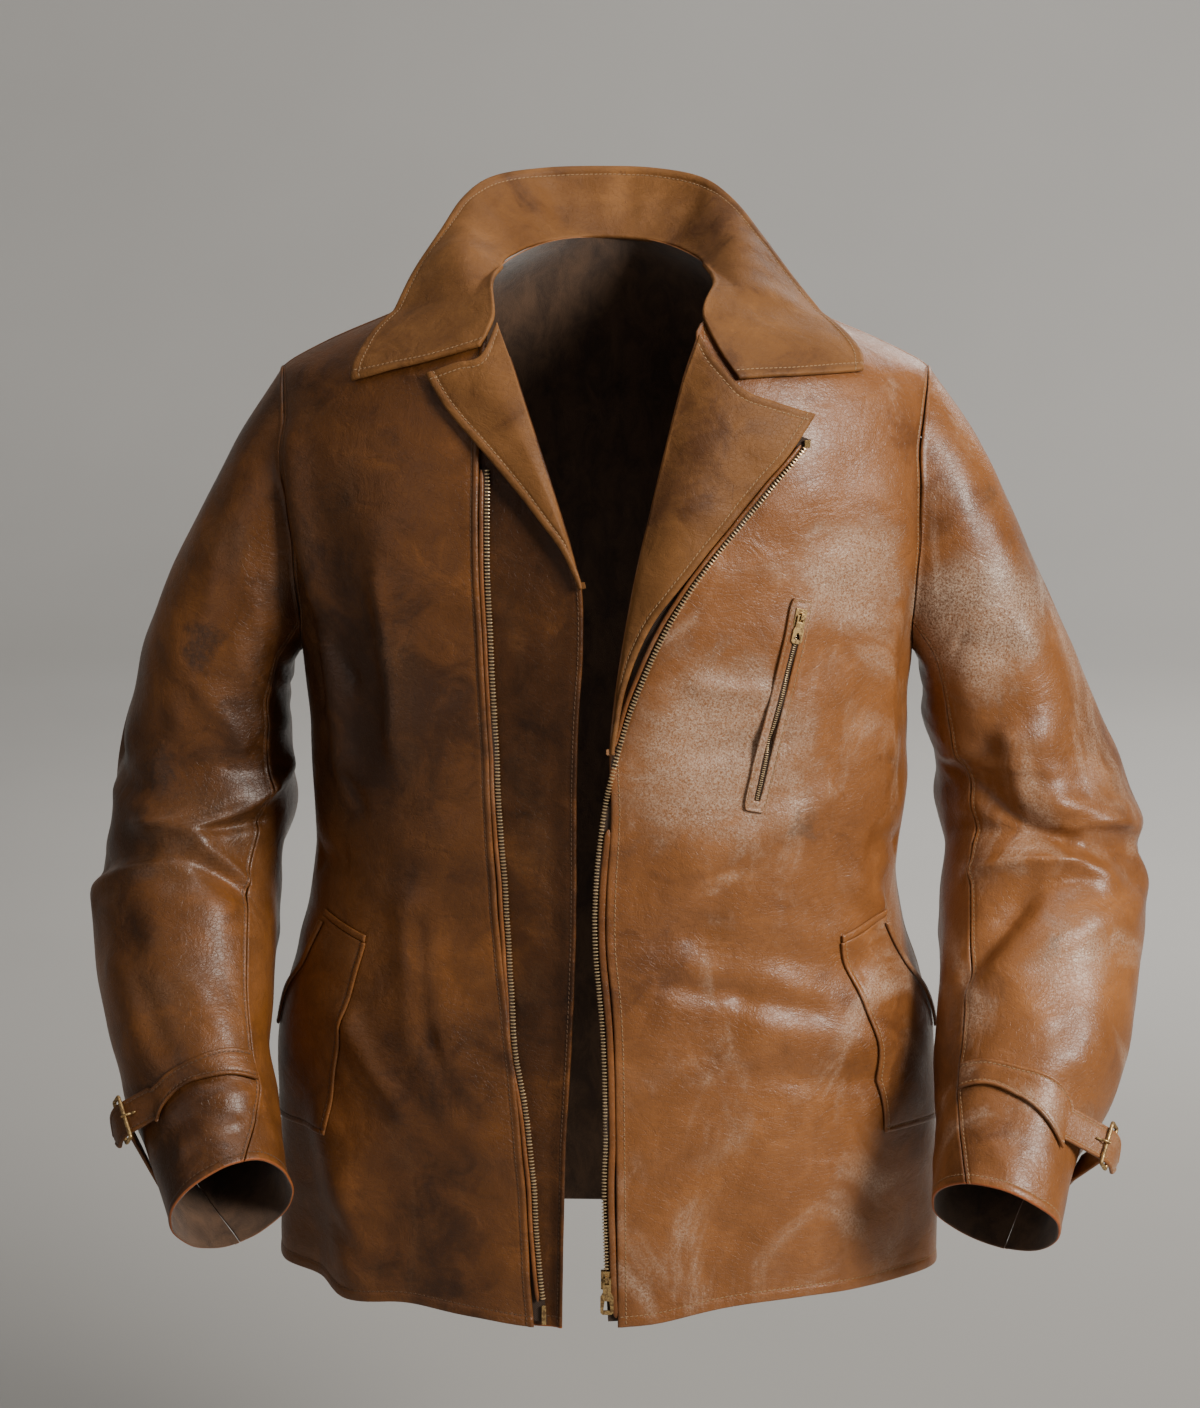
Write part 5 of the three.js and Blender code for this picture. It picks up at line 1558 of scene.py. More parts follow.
HIDDEN_SLEEVE_FOLDS = (
    Fold((5.6, 200), (6.4, 290), 18, 5),
    Fold((6.4, 190), (7.0, 260), 14, -5),
    Fold((6.0, 210), (6.2, 280), 8, -2.4),
    Fold((7.4, 200), (7.9, 270), 12, 3),
    Fold((4.6, 210), (5.0, 270), 12, 3),
)
SLEEVES = {
    "left": Sleeve(
        "left", 1, Finish.TAN, Finish.THREAD,
        (
            (0, 229, -68, 221, -268, 5, 55), (1, 264, -115, 228, -281, 4, 60),
            (2, 290, -167, 230, -293, 5, 64), (3, 320, -234, 231, -307, 7, 66),
            (4, 349, -295, 234, -328, 10, 68), (5, 372, -347, 241, -353, 14, 70),
            (6, 387, -403, 246, -399, 8, 73), (7, 390, -447, 246, -445, -10, 73),
            (8, 385, -492, 241, -487, -42, 70), (9, 375, -537, 238, -537, -77, 66),
            (10, 358, -572, 234, -574, -108, 60),
            (11, 333, -601, 233, -594, -135, 52), (12, 313, -655, 231, -617, -168, 48),
        ),
        (
            Fold((4.2, 84), (5.5, 87), 16, 5), Fold((5.6, 84), (5.9, 10), 15, 6),
            Fold((6.5, 60), (6.3, 15), 14, -5),
            Fold((5.0, 125), (5.4, 160), 14, -6), Fold((6.9, 120), (7.1, 60), 14, 4),
            Fold((7.8, 118), (7.3, 80), 13, -5), Fold((6.05, 70), (6.15, 20), 7, -2.2),
            Fold((5.3, 60), (5.0, 20), 8, 2), Fold((7.5, 100), (8.2, 128), 8, -2.4),
            Fold((8.6, 110), (9.2, 90), 9, 2), Fold((3.0, 60), (3.6, 40), 12, 2),
            Fold((4.0, 96), (6.1, 28), 7.5, 4, ((5.65, 103), (6.05, 84), (5.9, 50))),
            Fold((6.3, 22), (8.65, 132), 9.5, 3.5, ((6.85, 12), (7.65, 40), (8.25, 98))),
            Fold((5.35, 125), (6.3, 86), 11, -6.5), Fold((6.0, 160), (6.25, 104), 12, -4.5),
            Fold((7.0, 138), (6.85, 82), 8, 3.5), Fold((7.75, 108), (8.45, 138), 9, -5),
            Fold((6.6, 60), (7.1, 40), 18, -3.5), Fold((2.0, 110), (2.8, 84), 12, -3),
            Fold((4.2, 112), (5.0, 150), 9, -4), *HIDDEN_SLEEVE_FOLDS,
        ),
    ),
    "right": Sleeve(
        "right", -1, Finish.BROWN, Finish.THREAD_DARK,
        (
            (0, -223, -72, -211, -268, 5, 55), (1, -253, -115, -218, -280, 4, 60),
            (2, -283, -173, -220, -292, 5, 64), (3, -313, -236, -222, -305, 7, 66),
            (4, -331, -291, -221, -325, 10, 68), (5, -347, -347, -222, -352, 14, 70),
            (6, -353, -403, -224, -397, 8, 72), (7, -360, -447, -231, -445, -14, 71),
            (8, -358, -490, -231, -485, -48, 67), (9, -345, -533, -232, -533, -80, 64),
            (10, -331, -572, -224, -572, -108, 60), (11, -312, -605, -221, -589, -135, 52),
            (12, -286, -654, -219, -599, -168, 48),
        ),
        (
            Fold((5.1, 165), (6.0, 70), 16, 6), Fold((6.0, 70), (6.5, 100), 14, 5),
            Fold((7.0, 15), (7.0, 95), 15, 6),
            Fold((6.6, 15), (6.7, 70), 13, -5), Fold((4.9, 5), (5.3, 45), 14, -5),
            Fold((10.6, 125), (10.9, 65), 12, 2.5), Fold((5.6, 60), (5.4, 20), 8, 2.2),
            Fold((7.4, 30), (7.5, 90), 7, -2.2), Fold((8.3, 40), (8.7, 100), 9, 2),
            Fold((11.2, 120), (11.4, 75), 6, 2.4), Fold((10.9, 100), (11.1, 60), 5, -2.2),
            Fold((5.35, 143), (7.25, 137), 6.5, 4.5, ((5.8, 122), (6.3, 92), (6.75, 104))),
            Fold((6.3, 108), (6.05, 140), 7, -4.5), Fold((6.8, 20), (7.4, 134), 9, -5.5, ((6.95, 90),)),
            Fold((7.4, 25), (7.7, 118), 12, 3.5), Fold((8.0, 60), (9.4, 72), 13, -3.5),
            Fold((3.4, 84), (4.1, 118), 11, 3), Fold((4.2, 60), (4.8, 40), 12, -3), *HIDDEN_SLEEVE_FOLDS,
        ),
        wave_seed=1.9,
    ),
}


def on_side(side: int, turn: Array, level: Array, lift: float) -> Array:
    """Points over the side of the body, at degrees in front of the side seam.

    Args:
        side: 1 at the left and -1 at the right.
        turn: Degrees.
        level: Level in mm.
        lift: Height over the skin.

    Returns:
        Points in mm.
    """
    turn, level = np.broadcast_arrays(turn, level)
    angle = -np.radians(turn) if side > 0 else np.radians(turn) - math.pi
    return TRUNK.skin(angle, level) + TRUNK.normal(angle, level) * lift


@dataclass
class HandPocket:
    """A slanted hand pocket: the patch, the welt along its mouth and the bar over it."""

    name: str
    side: int
    finish: Finish
    thread: Finish
    lift: float
    inner: tuple = ((0, 42.4, -460), (0.5, 39.5, -545), (1, 36.8, -603))
    outer: tuple = ((0, 23.5, -449), (0.25, 17.5, -486), (0.45, 8.5, -516), (0.7, 4, -560), (1, 3, -610))
    welt: float = 8.0
    bar: float = 5.0
    mm_per_degree: float = 3.6

    def between(self, u: Array, v: Array) -> tuple[Array, Array]:
        """Degrees and level between the patch's inner edge at u 0 and its outer edge at u 1."""
        place = mix(curve(self.inner, v), curve(self.outer, v), u[..., None])
        return place[..., 0], place[..., 1]

    def panel(self, name: str, place: tuple[Array, Array], lift: float, **rims: Rim) -> bpy.types.Object:
        """One of the pocket's pieces from its degrees and levels.

        Args:
            name: The piece's name.
            place: Degrees and levels.
            lift: Height over the skin.
            rims: How its edges end.

        Returns:
            The object.
        """
        points = on_side(self.side, place[0], place[1], lift)
        normals = grid_normals(points, np.array([self.side, -1.0, 0.0]))
        return Panel(
            name, points, normals, self.finish, PATCH, thread=self.thread, inside=self.finish,
            declared=False, **rims,
        ).build()

    def build(self) -> None:
        stem = f"hand_pocket_{self.name}"
        u, v = np.meshgrid(spread(22, 90.0), spread(44, 150.0))
        edge = Rim(0.7, 0.4, 4.0)
        patch = self.panel(stem, self.between(u, v), self.lift, first=edge, bottom=edge)
        small = (0.25, 0.7, 1.4, 2.2)
        u, v = np.meshgrid(spread(6, self.welt, small), spread(40, 110.0))
        row = curve(self.outer, mix(0.03, 0.6, v))
        place = (row[..., 0] + (1 - u) * self.welt / self.mm_per_degree, row[..., 1])
        welt = self.panel(f"{stem}_welt", place, 2 * self.lift, first=Rim(0.7, 0.5), last=Rim(0.7, 0.5))
        u, v = np.meshgrid(spread(20, 70.0), spread(5, self.bar, (0.25, 0.7, 1.4)))
        turn, level = self.between(mix(0.02, 0.98, u), 0 * v)
        bar = self.panel(f"{stem}_bar", (turn, level + GAP + self.bar * (1 - v)), self.lift)


@dataclass
class ChestPocket:
    """The chest pocket: a stitched leather frame round its zip, with teeth."""

    top: tuple[float, float] = (137.5, -213.0)
    bottom: tuple[float, float] = (105.0, -359.0)
    half: float = 8.0
    slot: float = 2.2
    lift: float = PATCH + LAYER + 0.1
    tape_half: float = 2.1
    tape_lift: tuple[float, float] = (0.35, 1.35)

    @property
    def length(self) -> float:
        """Length from end to end."""
        return math.hypot(self.top[0] - self.bottom[0], self.top[1] - self.bottom[1])

    def place(self, along: Array, across: Array, lift: Array | float) -> Array:
        """Points over the pocket, along its length from the top and across it.

        Args:
            along: Distance from the top.
            across: Distance from the middle.
            lift: Height over the skin.

        Returns:
            Points in mm.
        """
        ax = (self.bottom[0] - self.top[0]) / self.length
        az = (self.bottom[1] - self.top[1]) / self.length
        x = self.top[0] + ax * along - az * across
        return TRUNK.on_front(x, self.top[1] + az * along + ax * across, lift)

    def tape(self) -> None:
        """The tape in the slot: a flat bar, its four corners carried along the pocket, with closed ends."""
        at = np.linspace(self.half + 1, self.length - self.half + 1, 90)
        half, (low, high) = self.tape_half, self.tape_lift
        corners = ((-half, low), (half, low), (half, high), (-half, high))
        ring = np.stack([self.place(at, 0 * at + across, lift) for across, lift in corners], 1)
        grid = np.arange(ring.shape[0] * 4).reshape(-1, 4)
        faces = np.concatenate([ring_faces(grid), grid[:1, ::-1], grid[-1:]])
        new_piece("chest_zip_tape", ring.reshape(-1, 3), faces, (Finish.TAPE,), ["chest_zip_tape"])

    def build(self) -> None:
        """Builds the frame: rings between a slot and an outline, each a rectangle with rounded corners."""
        turn = np.linspace(0, 2 * math.pi, 161)[:-1]
        cosine, sine = power(np.cos(turn), 12.0), power(np.sin(turn), 9.0)
        v = spread(8, self.half - self.slot, (0.2, 0.6, 1.2, 2.0))
        reach = mix(self.length / 2, self.length / 2 - self.half, v)
        wide = mix(self.half, self.slot, v)
        along = self.length / 2 + reach[:, None] * cosine[None, :]
        across = wide[:, None] * sine[None, :]
        points = self.place(along, across, self.lift)
        normals = grid_normals(points, np.array([0.3, -1.0, 0.0]))
        Panel(
            "chest_pocket_frame", points, normals, Finish.TAN, PATCH, top=Rim(0.7, 0.4, 2.2),
            bottom=Rim(0.7, 0.3), loop=True, inside=Finish.TAN,
        ).build()
        self.tape()
        at = np.linspace(self.half + 16, self.length - self.half - 1, 90)
        run = self.place(at, 0 * at, LAYER + 1.0)
        out = self.place(at, 0 * at, LAYER + 2.0) - run
        teeth("chest_zip_teeth", run, out, 1.5, (2.6, 0.85, 1.3))


def teeth(
    name: str,
    run: Array,
    out: Array,
    pitch: float = 2.4,
    size: tuple[float, float, float] = (4.2, 1.35, 2.3),
) -> None:
    """Zip teeth along a run: each is a grain across it, longer than wide, a pitch from the next.

    Args:
        name: The piece's name.
        run: Points along the zip.
        out: The way out of the coat at each.
        pitch: Distance between teeth.
        size: Length across the zip, width along it and height.
    """
    place, tangent, normal = resample(run, out, pitch)
    across = unit(np.cross(tangent, normal))
    shape, faces = bead(size[0], size[1] / 2, 6, size[2] / size[1])
    points, numbers = scatter(shape, faces, place, np.stack([across, tangent, normal], 1))
    new_piece(name, points, numbers, (Finish.TEETH,))


@dataclass
class MainZip:
    """The teeth of the front zip, on both tapes, and a cord under the left ones."""

    tape_face: float = -(SHELL + LAYER + GAP)
    lapel_face: float = 7.6 - TURNED - 2 * LAYER
    proud: float = 0.9
    across_foot: tuple[float, float] = (-366.0, -326.0)
    reach: float = 2.2
    piping: float = 1.5
    piping_deep: float = 1.25
    taper: float = 3.0
    right: tuple[float, float, int] = (-124.0, HEM + 18, 400)
    left: tuple[float, float, int] = (-112.0, -684.0, 560)
    turned: tuple[float, float, int] = (-112.0, -316.0, 240)
    below: tuple[float, float, int] = (-368.0, HEM + 6, 260)

    def run(
        self, rows: Sequence[Sequence[float]], levels: Array, lift: Array | float, beside: float = 0.0
    ) -> tuple[Array, Array]:
        """Points along a row of teeth and the way out at each.

        Args:
            rows: The row's x at each level.
            levels: Levels to take it at.
            lift: Height over the skin.
            beside: Distance in mm to its right as seen from the front, square to the row.

        Returns:
            The points and the way out.
        """
        x = line(rows, levels)
        way = unit(np.stack([np.gradient(x), np.gradient(levels)], -1))
        x, level = x - beside * way[:, 1], levels + beside * way[:, 0]
        points = TRUNK.on_front(x, level, lift)
        return points, TRUNK.on_front(x, level, np.asarray(lift) + 1.0) - points

    def strip(self, name: str, run: tuple[Array, Array], wide: float) -> None:
        """Leather piping beside the teeth: a flat oval carried along its run, with closed ends.

        Args:
            name: The piece's name.
            run: Its line and the way out.
            wide: Half its width.
        """
        place, tangent, normal = resample(*run, 1.6)
        across = unit(np.cross(tangent, normal))
        sides = 12
        turn = np.arange(sides) / sides * 2 * math.pi
        ring = across[:, None] * (wide * power(np.cos(turn), 2.4))[None, :, None]
        ring = ring + normal[:, None] * (self.piping_deep * power(np.sin(turn), 2.2))[None, :, None]
        from_end = np.minimum(np.arange(len(place)), np.arange(len(place))[::-1]) + 0.2
        ring = ring * np.sqrt(np.clip(from_end / self.taper, 0, 1))[:, None, None]
        points = (place[:, None] + ring).reshape(-1, 3)
        grid = np.arange(len(points)).reshape(-1, sides)
        new_piece(name, points, np.concatenate([ring_faces(grid), end_faces(grid)]), (Finish.PIPING,))

    def build(self) -> None:
        """Builds the teeth and the piping of both sides."""
        lift = self.tape_face + self.proud
        lapel = self.lapel_face + self.proud
        near, wide = self.reach + self.piping, self.piping + 0.9
        right, left, turned, below = (
            np.linspace(*span) for span in (self.right, self.left, self.turned, self.below)
        )
        rising = mix(lift, lapel, step(left, *self.across_foot))
        teeth("zip_teeth_right", *self.run(TEETH_RIGHT, right, lift))
        teeth("zip_teeth_left", *self.run(TEETH_LEFT, left, rising))
        self.strip("zip_piping_right", self.run(TEETH_RIGHT, right, lift + 1.0, -near), self.piping)
        self.strip("zip_piping_left", self.run(TEETH_LEFT, below, lift + 1.0, self.reach + wide), wide)
        self.strip("zip_piping_lapel", self.run(TEETH_LEFT, turned, lapel + 0.7, -near), self.piping)


def tube(path: Array, radius: float | Array, sides: int, closed: bool) -> tuple[Array, Array]:
    """A round rod: a circle carried along a path, turned by the path's tangent and a fixed reference.

    Args:
        path: Points of its centre line.
        radius: Its radius, or one for each point.
        sides: Sides of the circle.
        closed: Whether the path joins its start.

    Returns:
        Points and faces.
    """
    around = np.roll(path, -1, 0) - np.roll(path, 1, 0)
    if not closed:
        around[0], around[-1] = path[1] - path[0], path[-1] - path[-2]
    tangent = unit(around)
    flat = unit(np.linalg.svd(path - path.mean(0))[2][2])
    side = unit(np.cross(tangent, flat))
    up = np.cross(side, tangent)
    turn = np.arange(sides) / sides * 2 * math.pi
    radius = np.broadcast_to(radius, len(path))[:, None, None]
    ring = radius * (np.cos(turn)[None, :, None] * side[:, None] + np.sin(turn)[None, :, None] * up[:, None])
    points = (path[:, None] + ring).reshape(-1, 3)
    grid = np.arange(len(points)).reshape(-1, sides)
    if closed:
        grid = np.concatenate([grid, grid[:1]])
    faces = ring_faces(grid)
    return points, faces if closed else np.concatenate([faces, end_faces(grid)])


def smooth_path(points: Array, count: int, closed: bool, tension: float = 0.2) -> Array:
    """Points on a Catmull-Rom curve: a cubic between points, with slopes from their neighbours' gap.

    Args:
        points: Points that it passes.
        count: Number of points wanted.
        closed: Whether it joins its start.
        tension: Share of the gap.

    Returns:
        The curve's points.
    """
    before, after = np.roll(points, 1, 0), np.roll(points, -1, 0)
    if not closed:
        before[0], after[-1] = 2 * points[0] - points[1], 2 * points[-1] - points[-2]
    slope = tension * (after - before)
    spans = len(points) if closed else len(points) - 1
    at = np.linspace(0, spans, count, endpoint=not closed)
    i = np.minimum(at.astype(int), spans - 1)
    j = (i + 1) % len(points)
    return cubic((at - i)[:, None], (points[i], points[j]), (slope[i], slope[j]))


@dataclass
class CuffStrap:
    """A cuff strap over its sleeve, the buckle on its free end, the tab behind it and the buckle's prong."""

    sleeve: Sleeve
    path: tuple[tuple[float, float, float], ...]
    buckle_at: float
    width: float = 24.0
    tail: float = 27.0
    lift: float = STRAP + LAYER + 0.6
    station_length: float = 39.0
    away: tuple[float, float, float] = (0.8, 0.2, -0.5)
    fall: tuple[float, float, float] = (0.1, 0.5, -0.86)
    wire: float = 1.4
    tip: float = 9.0
    tab_half: float = 9.0
    tab_station: float = 11.1
    tab_turns: tuple[float, float] = (-58.0, -6.0)

    def over(self, s: Array, v: Array) -> Array:
        """Points over the sleeve, along the strap (0 to 1) and across it (-1 to 1)."""
        row = curve(self.path, s)
        return self.seat(row[..., 0] + v * self.width / 2 / self.station_length, row[..., 1])

    def seat(self, t: Array, turn: Array) -> Array:
        """Points over the sleeve at a station and a turn.

        Args:
            t: Station.
            turn: Turn in degrees.

        Returns:
            The points, lifted by the strap's thickness and a gap.
        """
        face = self.sleeve.face
        normal = slopes(lambda a, b: face(b, a), turn, t, 2.0, 0.05) * self.sleeve.side
        return face(t, turn) + normal * self.lift

    def frame_of(self) -> tuple[Array, Array, Array, Array, Array]:
        """End of the strap on the sleeve, and its directions along, falling, across and out.

        Returns:
            The end and the four directions.
        """
        flip = np.array([self.sleeve.side, 1.0, 1.0])
        along, fall = unit(np.array(self.away) * flip), unit(np.array(self.fall) * flip)
        one = np.array(1.0)
        end = self.over(one, np.array(0.0))
        across = self.over(one, one) - self.over(one, -one)
        across = unit(across - (across @ along) * along)
        return end, along, fall, across, unit(np.cross(along, across)) * -self.sleeve.side

    def free(self, distance: Array) -> Array:
        """Centre of the free end, a distance past the sleeve: straight to the buckle, then falling.

        Args:
            distance: Distance past the sleeve.

        Returns:
            Points in mm.
        """
        end, along, fall, _, _ = self.frame_of()
        knee = self.buckle_at + 9
        soft = 4.0
        rest = soft * np.log1p(np.exp((distance - knee) / soft))
        return end + (distance - rest)[..., None] * along + rest[..., None] * fall

    def strap(self) -> None:
        """The strap from its seam, over the sleeve, through the buckle to its pointed tip."""
        _, _, _, across, _ = self.frame_of()
        free = self.buckle_at + self.tail
        v = mix(-1.0, 1.0, spread(16, self.width, (0.25, 0.7, 1.4, 2.2, 3.0, 3.8)))
        on = np.linspace(0, 1, 70)
        start = free - self.tip
        pointed = start + self.tip * np.sin(np.linspace(0.1, math.pi / 2, 14))
        off = np.concatenate([np.linspace(2, start, 34), pointed])
        va, sa = np.meshgrid(v, on)
        vb, db = np.meshgrid(v, off)
        taper = 1 - 0.72 * np.clip((db - free + self.tip) / self.tip, 0, 1) ** 1.6
        tail = self.free(db) + across * (vb * self.width / 2 * taper)[..., None]
        points = np.concatenate([self.over(sa, va), tail])
        edge = Rim(1.1, 0.35, 3.0)
        self.leather("strap", points, edge, Rim(0.8))

    def leather(self, part: str, points: Array, edge: Rim, top: Rim) -> None:
        """A panel of the sleeve's leather, its outer face away from the forearm's axis.

        Args:
            part: "strap" or "tab".
            points: Its grid of points.
            edge: How its long edges end.
            top: How it ends on the sleeve.
        """
        forearm = 10.6
        normals = grid_normals(points, points - self.sleeve.ring(np.array(forearm))[0])
        Panel(
            f"cuff_{part}_{self.sleeve.name}", points, normals, self.sleeve.finish, STRAP, first=edge,
            last=edge, top=top, bottom=Rim(1.1), thread=self.sleeve.thread, inside=self.sleeve.finish,
        ).build()

    def corner(self, along: float, across: float, up: float) -> Array:
        """A point of the buckle, from the middle of the strap under its bar.

        Args:
            along: Distance along the strap.
            across: Distance across it.
            up: Height over it.

        Returns:
            The point.
        """
        _, ahead, _, side, out = self.frame_of()
        at = self.free(np.array(self.buckle_at)) - out * STRAP / 2
        return at + ahead * along + side * across + out * up

    def buckle(self) -> None:
        """The frame, a rod round a tilted rectangle, and its prong."""
        half = self.width / 2 + self.wire + 1.4
        rise = STRAP / 2 + self.wire + 2 * GAP
        near, reach = -1.0, 8.0
        corners = np.array(
            [
                self.corner(near, -half, rise), self.corner(near, 0, rise), self.corner(near, half, rise),
                self.corner(near + reach / 2, half + 0.4, 0), self.corner(near + reach, half, -rise),
                self.corner(near + reach, 0, -rise), self.corner(near + reach, -half, -rise),
                self.corner(near + reach / 2, -half - 0.4, 0),
            ]
        )
        name = self.sleeve.name
        points, faces = tube(smooth_path(corners, 120, True), self.wire, 14, True)
        new_piece(f"buckle_{name}", points, faces, (Finish.BRASS,), [f"cuff_buckle_{name}"])
        top = STRAP / 2 + 0.9 + GAP
        prong = np.array(
            [
                self.corner(near - 9, 0, top), self.corner(near - 5.5, 0, top + 0.4),
                self.corner(near - 2.6, 0, rise + self.wire + 0.6),
                self.corner(near + 1, 0, rise + self.wire + 1.2),
            ]
        )
        path = smooth_path(prong, 24, False)
        radius = 0.9 * np.sqrt(np.clip(np.linspace(0.02, 1, 24) * 6, 0, 1))
        points, faces = tube(path, radius, 10, False)
        new_piece(f"prong_{name}", points, faces, (Finish.BRASS,), [f"cuff_prong_{name}"])

    def tab(self) -> None:
        """The tab from the back of the sleeve to the buckle's far bar."""
        _, _, _, across, out = self.frame_of()
        bar = self.free(np.array(self.buckle_at + 7.0)) - out * (2 * STRAP + 3.2)
        wide = mix(-1.0, 1.0, spread(10, 2 * self.tab_half, (0.25, 0.7, 1.4, 2.4)))
        s, v = np.meshgrid(2 * spread(50, 90.0), wide, indexing="ij")
        turn = mix(*self.tab_turns, np.minimum(s, 1))
        t = self.tab_station + v * self.tab_half / self.sleeve.station_length
        end = bar + across * (v * self.tab_half)[..., None]
        points = mix(self.seat(t, turn), end, np.maximum(s - 1, 0)[..., None])
        self.leather("tab", points, Rim(1.1, 0.3, 3.0), Rim(1.1))

    def build(self) -> None:
        """Builds the strap, buckle, prong and tab."""
        self.strap()
        self.tab()
        self.buckle()


@dataclass
class Hardware:
    """Sliders, pulls, the stop and the pin: fine copies of their solids, with rounded edges."""

    round: float = 0.28
    join: float = 0.01
    segments: int = 3
    sharp: float = 35.0
    bodies: tuple[tuple[str, str], ...] = (
        ("main_slider", BODY), ("main_pull", "main_pull"), ("chest_slider", BODY),
        ("chest_pull", "chest_pull"), ("zip_stop_top", BODY), ("zip_pin_right", BODY),
    )

    def build(self) -> None:
        """Copies each solid, joins its points and rounds its edges."""
        for name, body in self.bodies:
            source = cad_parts[name]
            mesh = source.data.copy()
            work = bmesh.new()
            work.from_mesh(mesh)
            bmesh.ops.remove_doubles(work, verts=work.verts, dist=self.join * MM)
            work.to_mesh(mesh)
            work.free()
            obj = bpy.data.objects.new(f"{name}_fine", mesh)
            bpy.context.scene.collection.objects.link(obj)
            mesh.materials.clear()
            mesh.materials.append(Finish.BRASS.made())
            bevel = obj.modifiers.new("round", "BEVEL")
            bevel.width = self.round * MM
            bevel.segments = self.segments
            bevel.limit_method = "ANGLE"
            bevel.angle_limit = math.radians(self.sharp)
            bevel.harden_normals = True
            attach(obj, body)
            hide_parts(name)
            LOG.info("%s", obj.name)


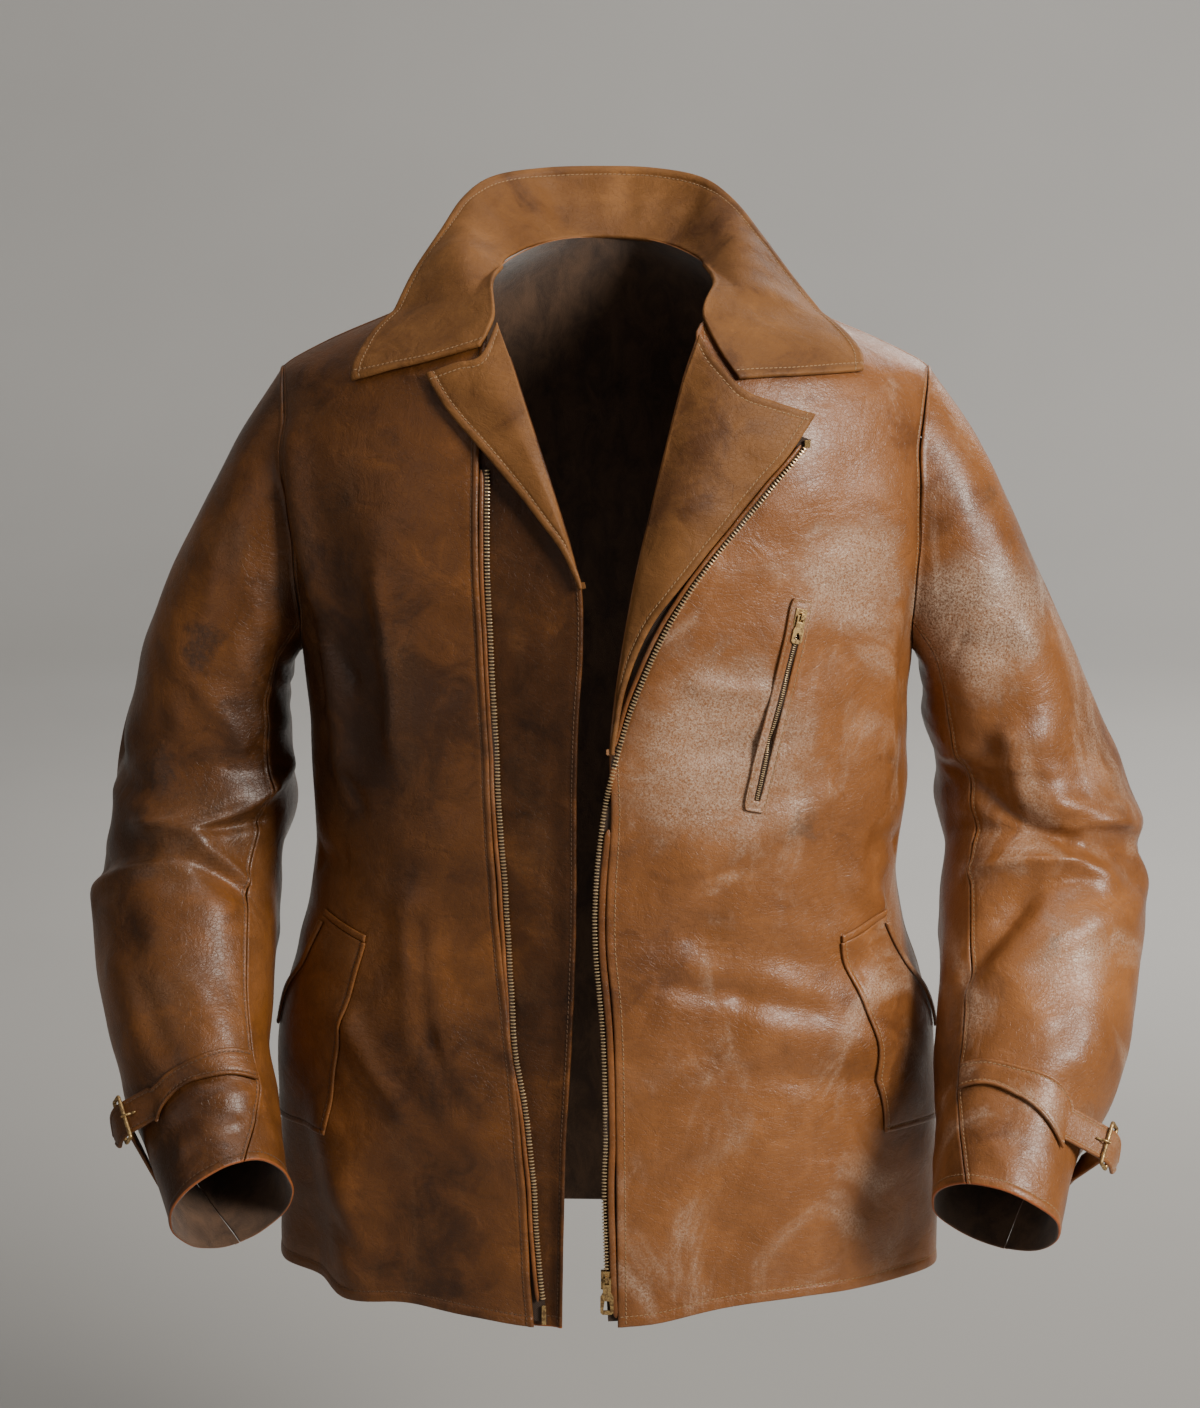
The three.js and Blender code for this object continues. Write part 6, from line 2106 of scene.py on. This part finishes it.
@dataclass
class Studio:
    """A pale floor that curves up all round, soft lights and the camera."""

    floor: float = -1.15
    reach: float = 6.5
    bend: float = 2.0
    wall: float = 4.5
    sides: int = 96
    pitch: float = 12.0
    distance: float = 2.6
    aim: float = -0.31
    lens: float = 93.1
    sky: float = 0.2
    lights: tuple[tuple[str, Colour, Colour, float, float, Colour], ...] = (
        ("key", (1.85, -1.65, 0.8), (0.1, 0.0, -0.35), 0.8, 98.0, (1.0, 0.95, 0.88)),
        ("fill", (-1.8, -2.2, 0.2), (0.0, 0.0, -0.4), 1.8, 7.0, (1.0, 0.97, 0.94)),
        ("top", (0.2, -0.2, 1.7), (0.0, 0.0, -0.2), 1.2, 16.0, (1.0, 0.98, 0.95)),
        ("back", (1.2, 1.9, 0.9), (0.0, 0.0, -0.3), 1.0, 16.0, (1.0, 0.97, 0.93)),
        ("wall", (1.6, 2.2, 1.6), (0.9, 6.0, -0.2), 2.0, 150.0, (1.0, 0.98, 0.96)),
    )

    def ground(self) -> None:
        """A round floor that turns up on a quarter circle into a wall, the same from every side."""
        turn = np.linspace(0, math.pi / 2, 16)
        flat = self.reach - self.bend
        out = np.concatenate([[0.5, 2.0], flat + self.bend * np.sin(turn), [self.reach]])
        up = np.concatenate([[0.0, 0.0], self.bend * (1 - np.cos(turn)), [self.wall]]) + self.floor
        around = np.arange(self.sides) / self.sides * 2 * math.pi
        x, y = out[:, None] * np.cos(around), out[:, None] * np.sin(around)
        points = np.stack([x, y, np.broadcast_to(up[:, None], x.shape)], -1).reshape(-1, 3)
        grid = np.arange(len(points)).reshape(-1, self.sides)
        beside = np.roll(grid, -1, 1)
        faces = np.stack([grid[:-1], grid[1:], beside[1:], beside[:-1]], -1).reshape(-1, 4)
        faces = faces.tolist() + [grid[0].tolist()]
        mesh = bpy.data.meshes.new("floor")
        mesh.from_pydata(points.tolist(), [], faces)
        mesh.polygons.foreach_set("use_smooth", np.ones(len(faces), bool))
        s = Shader("pale_floor")
        tone = s.noise(s.place(), 1.2, 3.0)
        grey = s.blend(tone, (0.40, 0.39, 0.37), (0.46, 0.45, 0.43))
        mesh.materials.append(s.finish(Base_Color=grey, Roughness=0.9))
        obj = bpy.data.objects.new("floor", mesh)
        bpy.context.scene.collection.objects.link(obj)

    @staticmethod
    def light(name: str, at: Colour, to: Colour, size: float, watts: float, colour: Colour) -> None:
        """An area light at a place, turned to another.

        Args:
            name: Its name.
            at: Its place.
            to: Where it aims.
            size: Its side in metres.
            watts: Its power.
            colour: Its colour.
        """
        data = bpy.data.lights.new(name, "AREA")
        data.size = size
        data.energy = watts
        data.color = colour
        obj = bpy.data.objects.new(name, data)
        obj.location = at
        way = np.array(to) - np.array(at)
        yaw = math.atan2(way[0], -way[1])
        tilt = math.atan2(math.hypot(way[0], way[1]), -way[2])
        obj.rotation_euler = (tilt, 0.0, yaw + math.pi)
        bpy.context.scene.collection.objects.link(obj)

    def build(self) -> None:
        """Builds the floor, lights, world and camera."""
        self.ground()
        for row in self.lights:
            self.light(*row)
        world = bpy.data.worlds.new("studio")
        world.use_nodes = True
        background = world.node_tree.nodes["Background"]
        background.inputs[0].default_value = (0.86, 0.84, 0.82, 1.0)
        background.inputs[1].default_value = self.sky
        bpy.context.scene.world = world
        data = bpy.data.cameras.new("camera")
        data.lens = self.lens
        data.sensor_width = 36.0
        camera = bpy.data.objects.new("camera", data)
        angle = math.radians(self.pitch)
        camera.location = (0.0, -self.distance * math.cos(angle), self.aim + self.distance * math.sin(angle))
        camera.rotation_euler = (math.pi / 2 - angle, 0.0, 0.0)
        bpy.context.scene.collection.objects.link(camera)
        bpy.context.scene.camera = camera


def dress_frame() -> None:
    """Gives the solids that stay in view their finish: the zip tapes, of which the wide ones are sheets."""
    for name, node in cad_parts.items():
        if "tape" in name:
            node.data.materials.clear()
            node.data.materials.append(Finish.TAPE.made())


def main() -> None:
    """Builds the coat piece by piece, then its studio."""
    logging.basicConfig(level=logging.INFO, format="%(name)s %(message)s")
    dress_frame()
    TrunkPanels().build()
    for lapel in LAPELS:
        lapel.build()
    Collar().build()
    for sleeve in SLEEVES.values():
        sleeve.build()
    HandPocket("left", 1, Finish.TAN, Finish.THREAD, PATCH + LAYER + 0.1).build()
    HandPocket("right", -1, Finish.BROWN, Finish.THREAD_DARK, PATCH + GAP + 0.2).build()
    ChestPocket().build()
    MainZip().build()
    left = ((0, 10.08, 135), (0.3, 10.14, 115), (0.6, 10.4, 92), (0.85, 10.72, 67), (1, 10.93, 52))
    right = ((0, 9.8, 135), (0.3, 9.85, 112), (0.6, 10.08, 89), (0.85, 10.4, 66), (1, 10.62, 53))
    CuffStrap(SLEEVES["left"], left, 35.0).build()
    CuffStrap(SLEEVES["right"], right, 25.0).build()
    Hardware().build()
    Studio().build()
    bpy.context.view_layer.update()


if __name__ == "__main__":
    main()
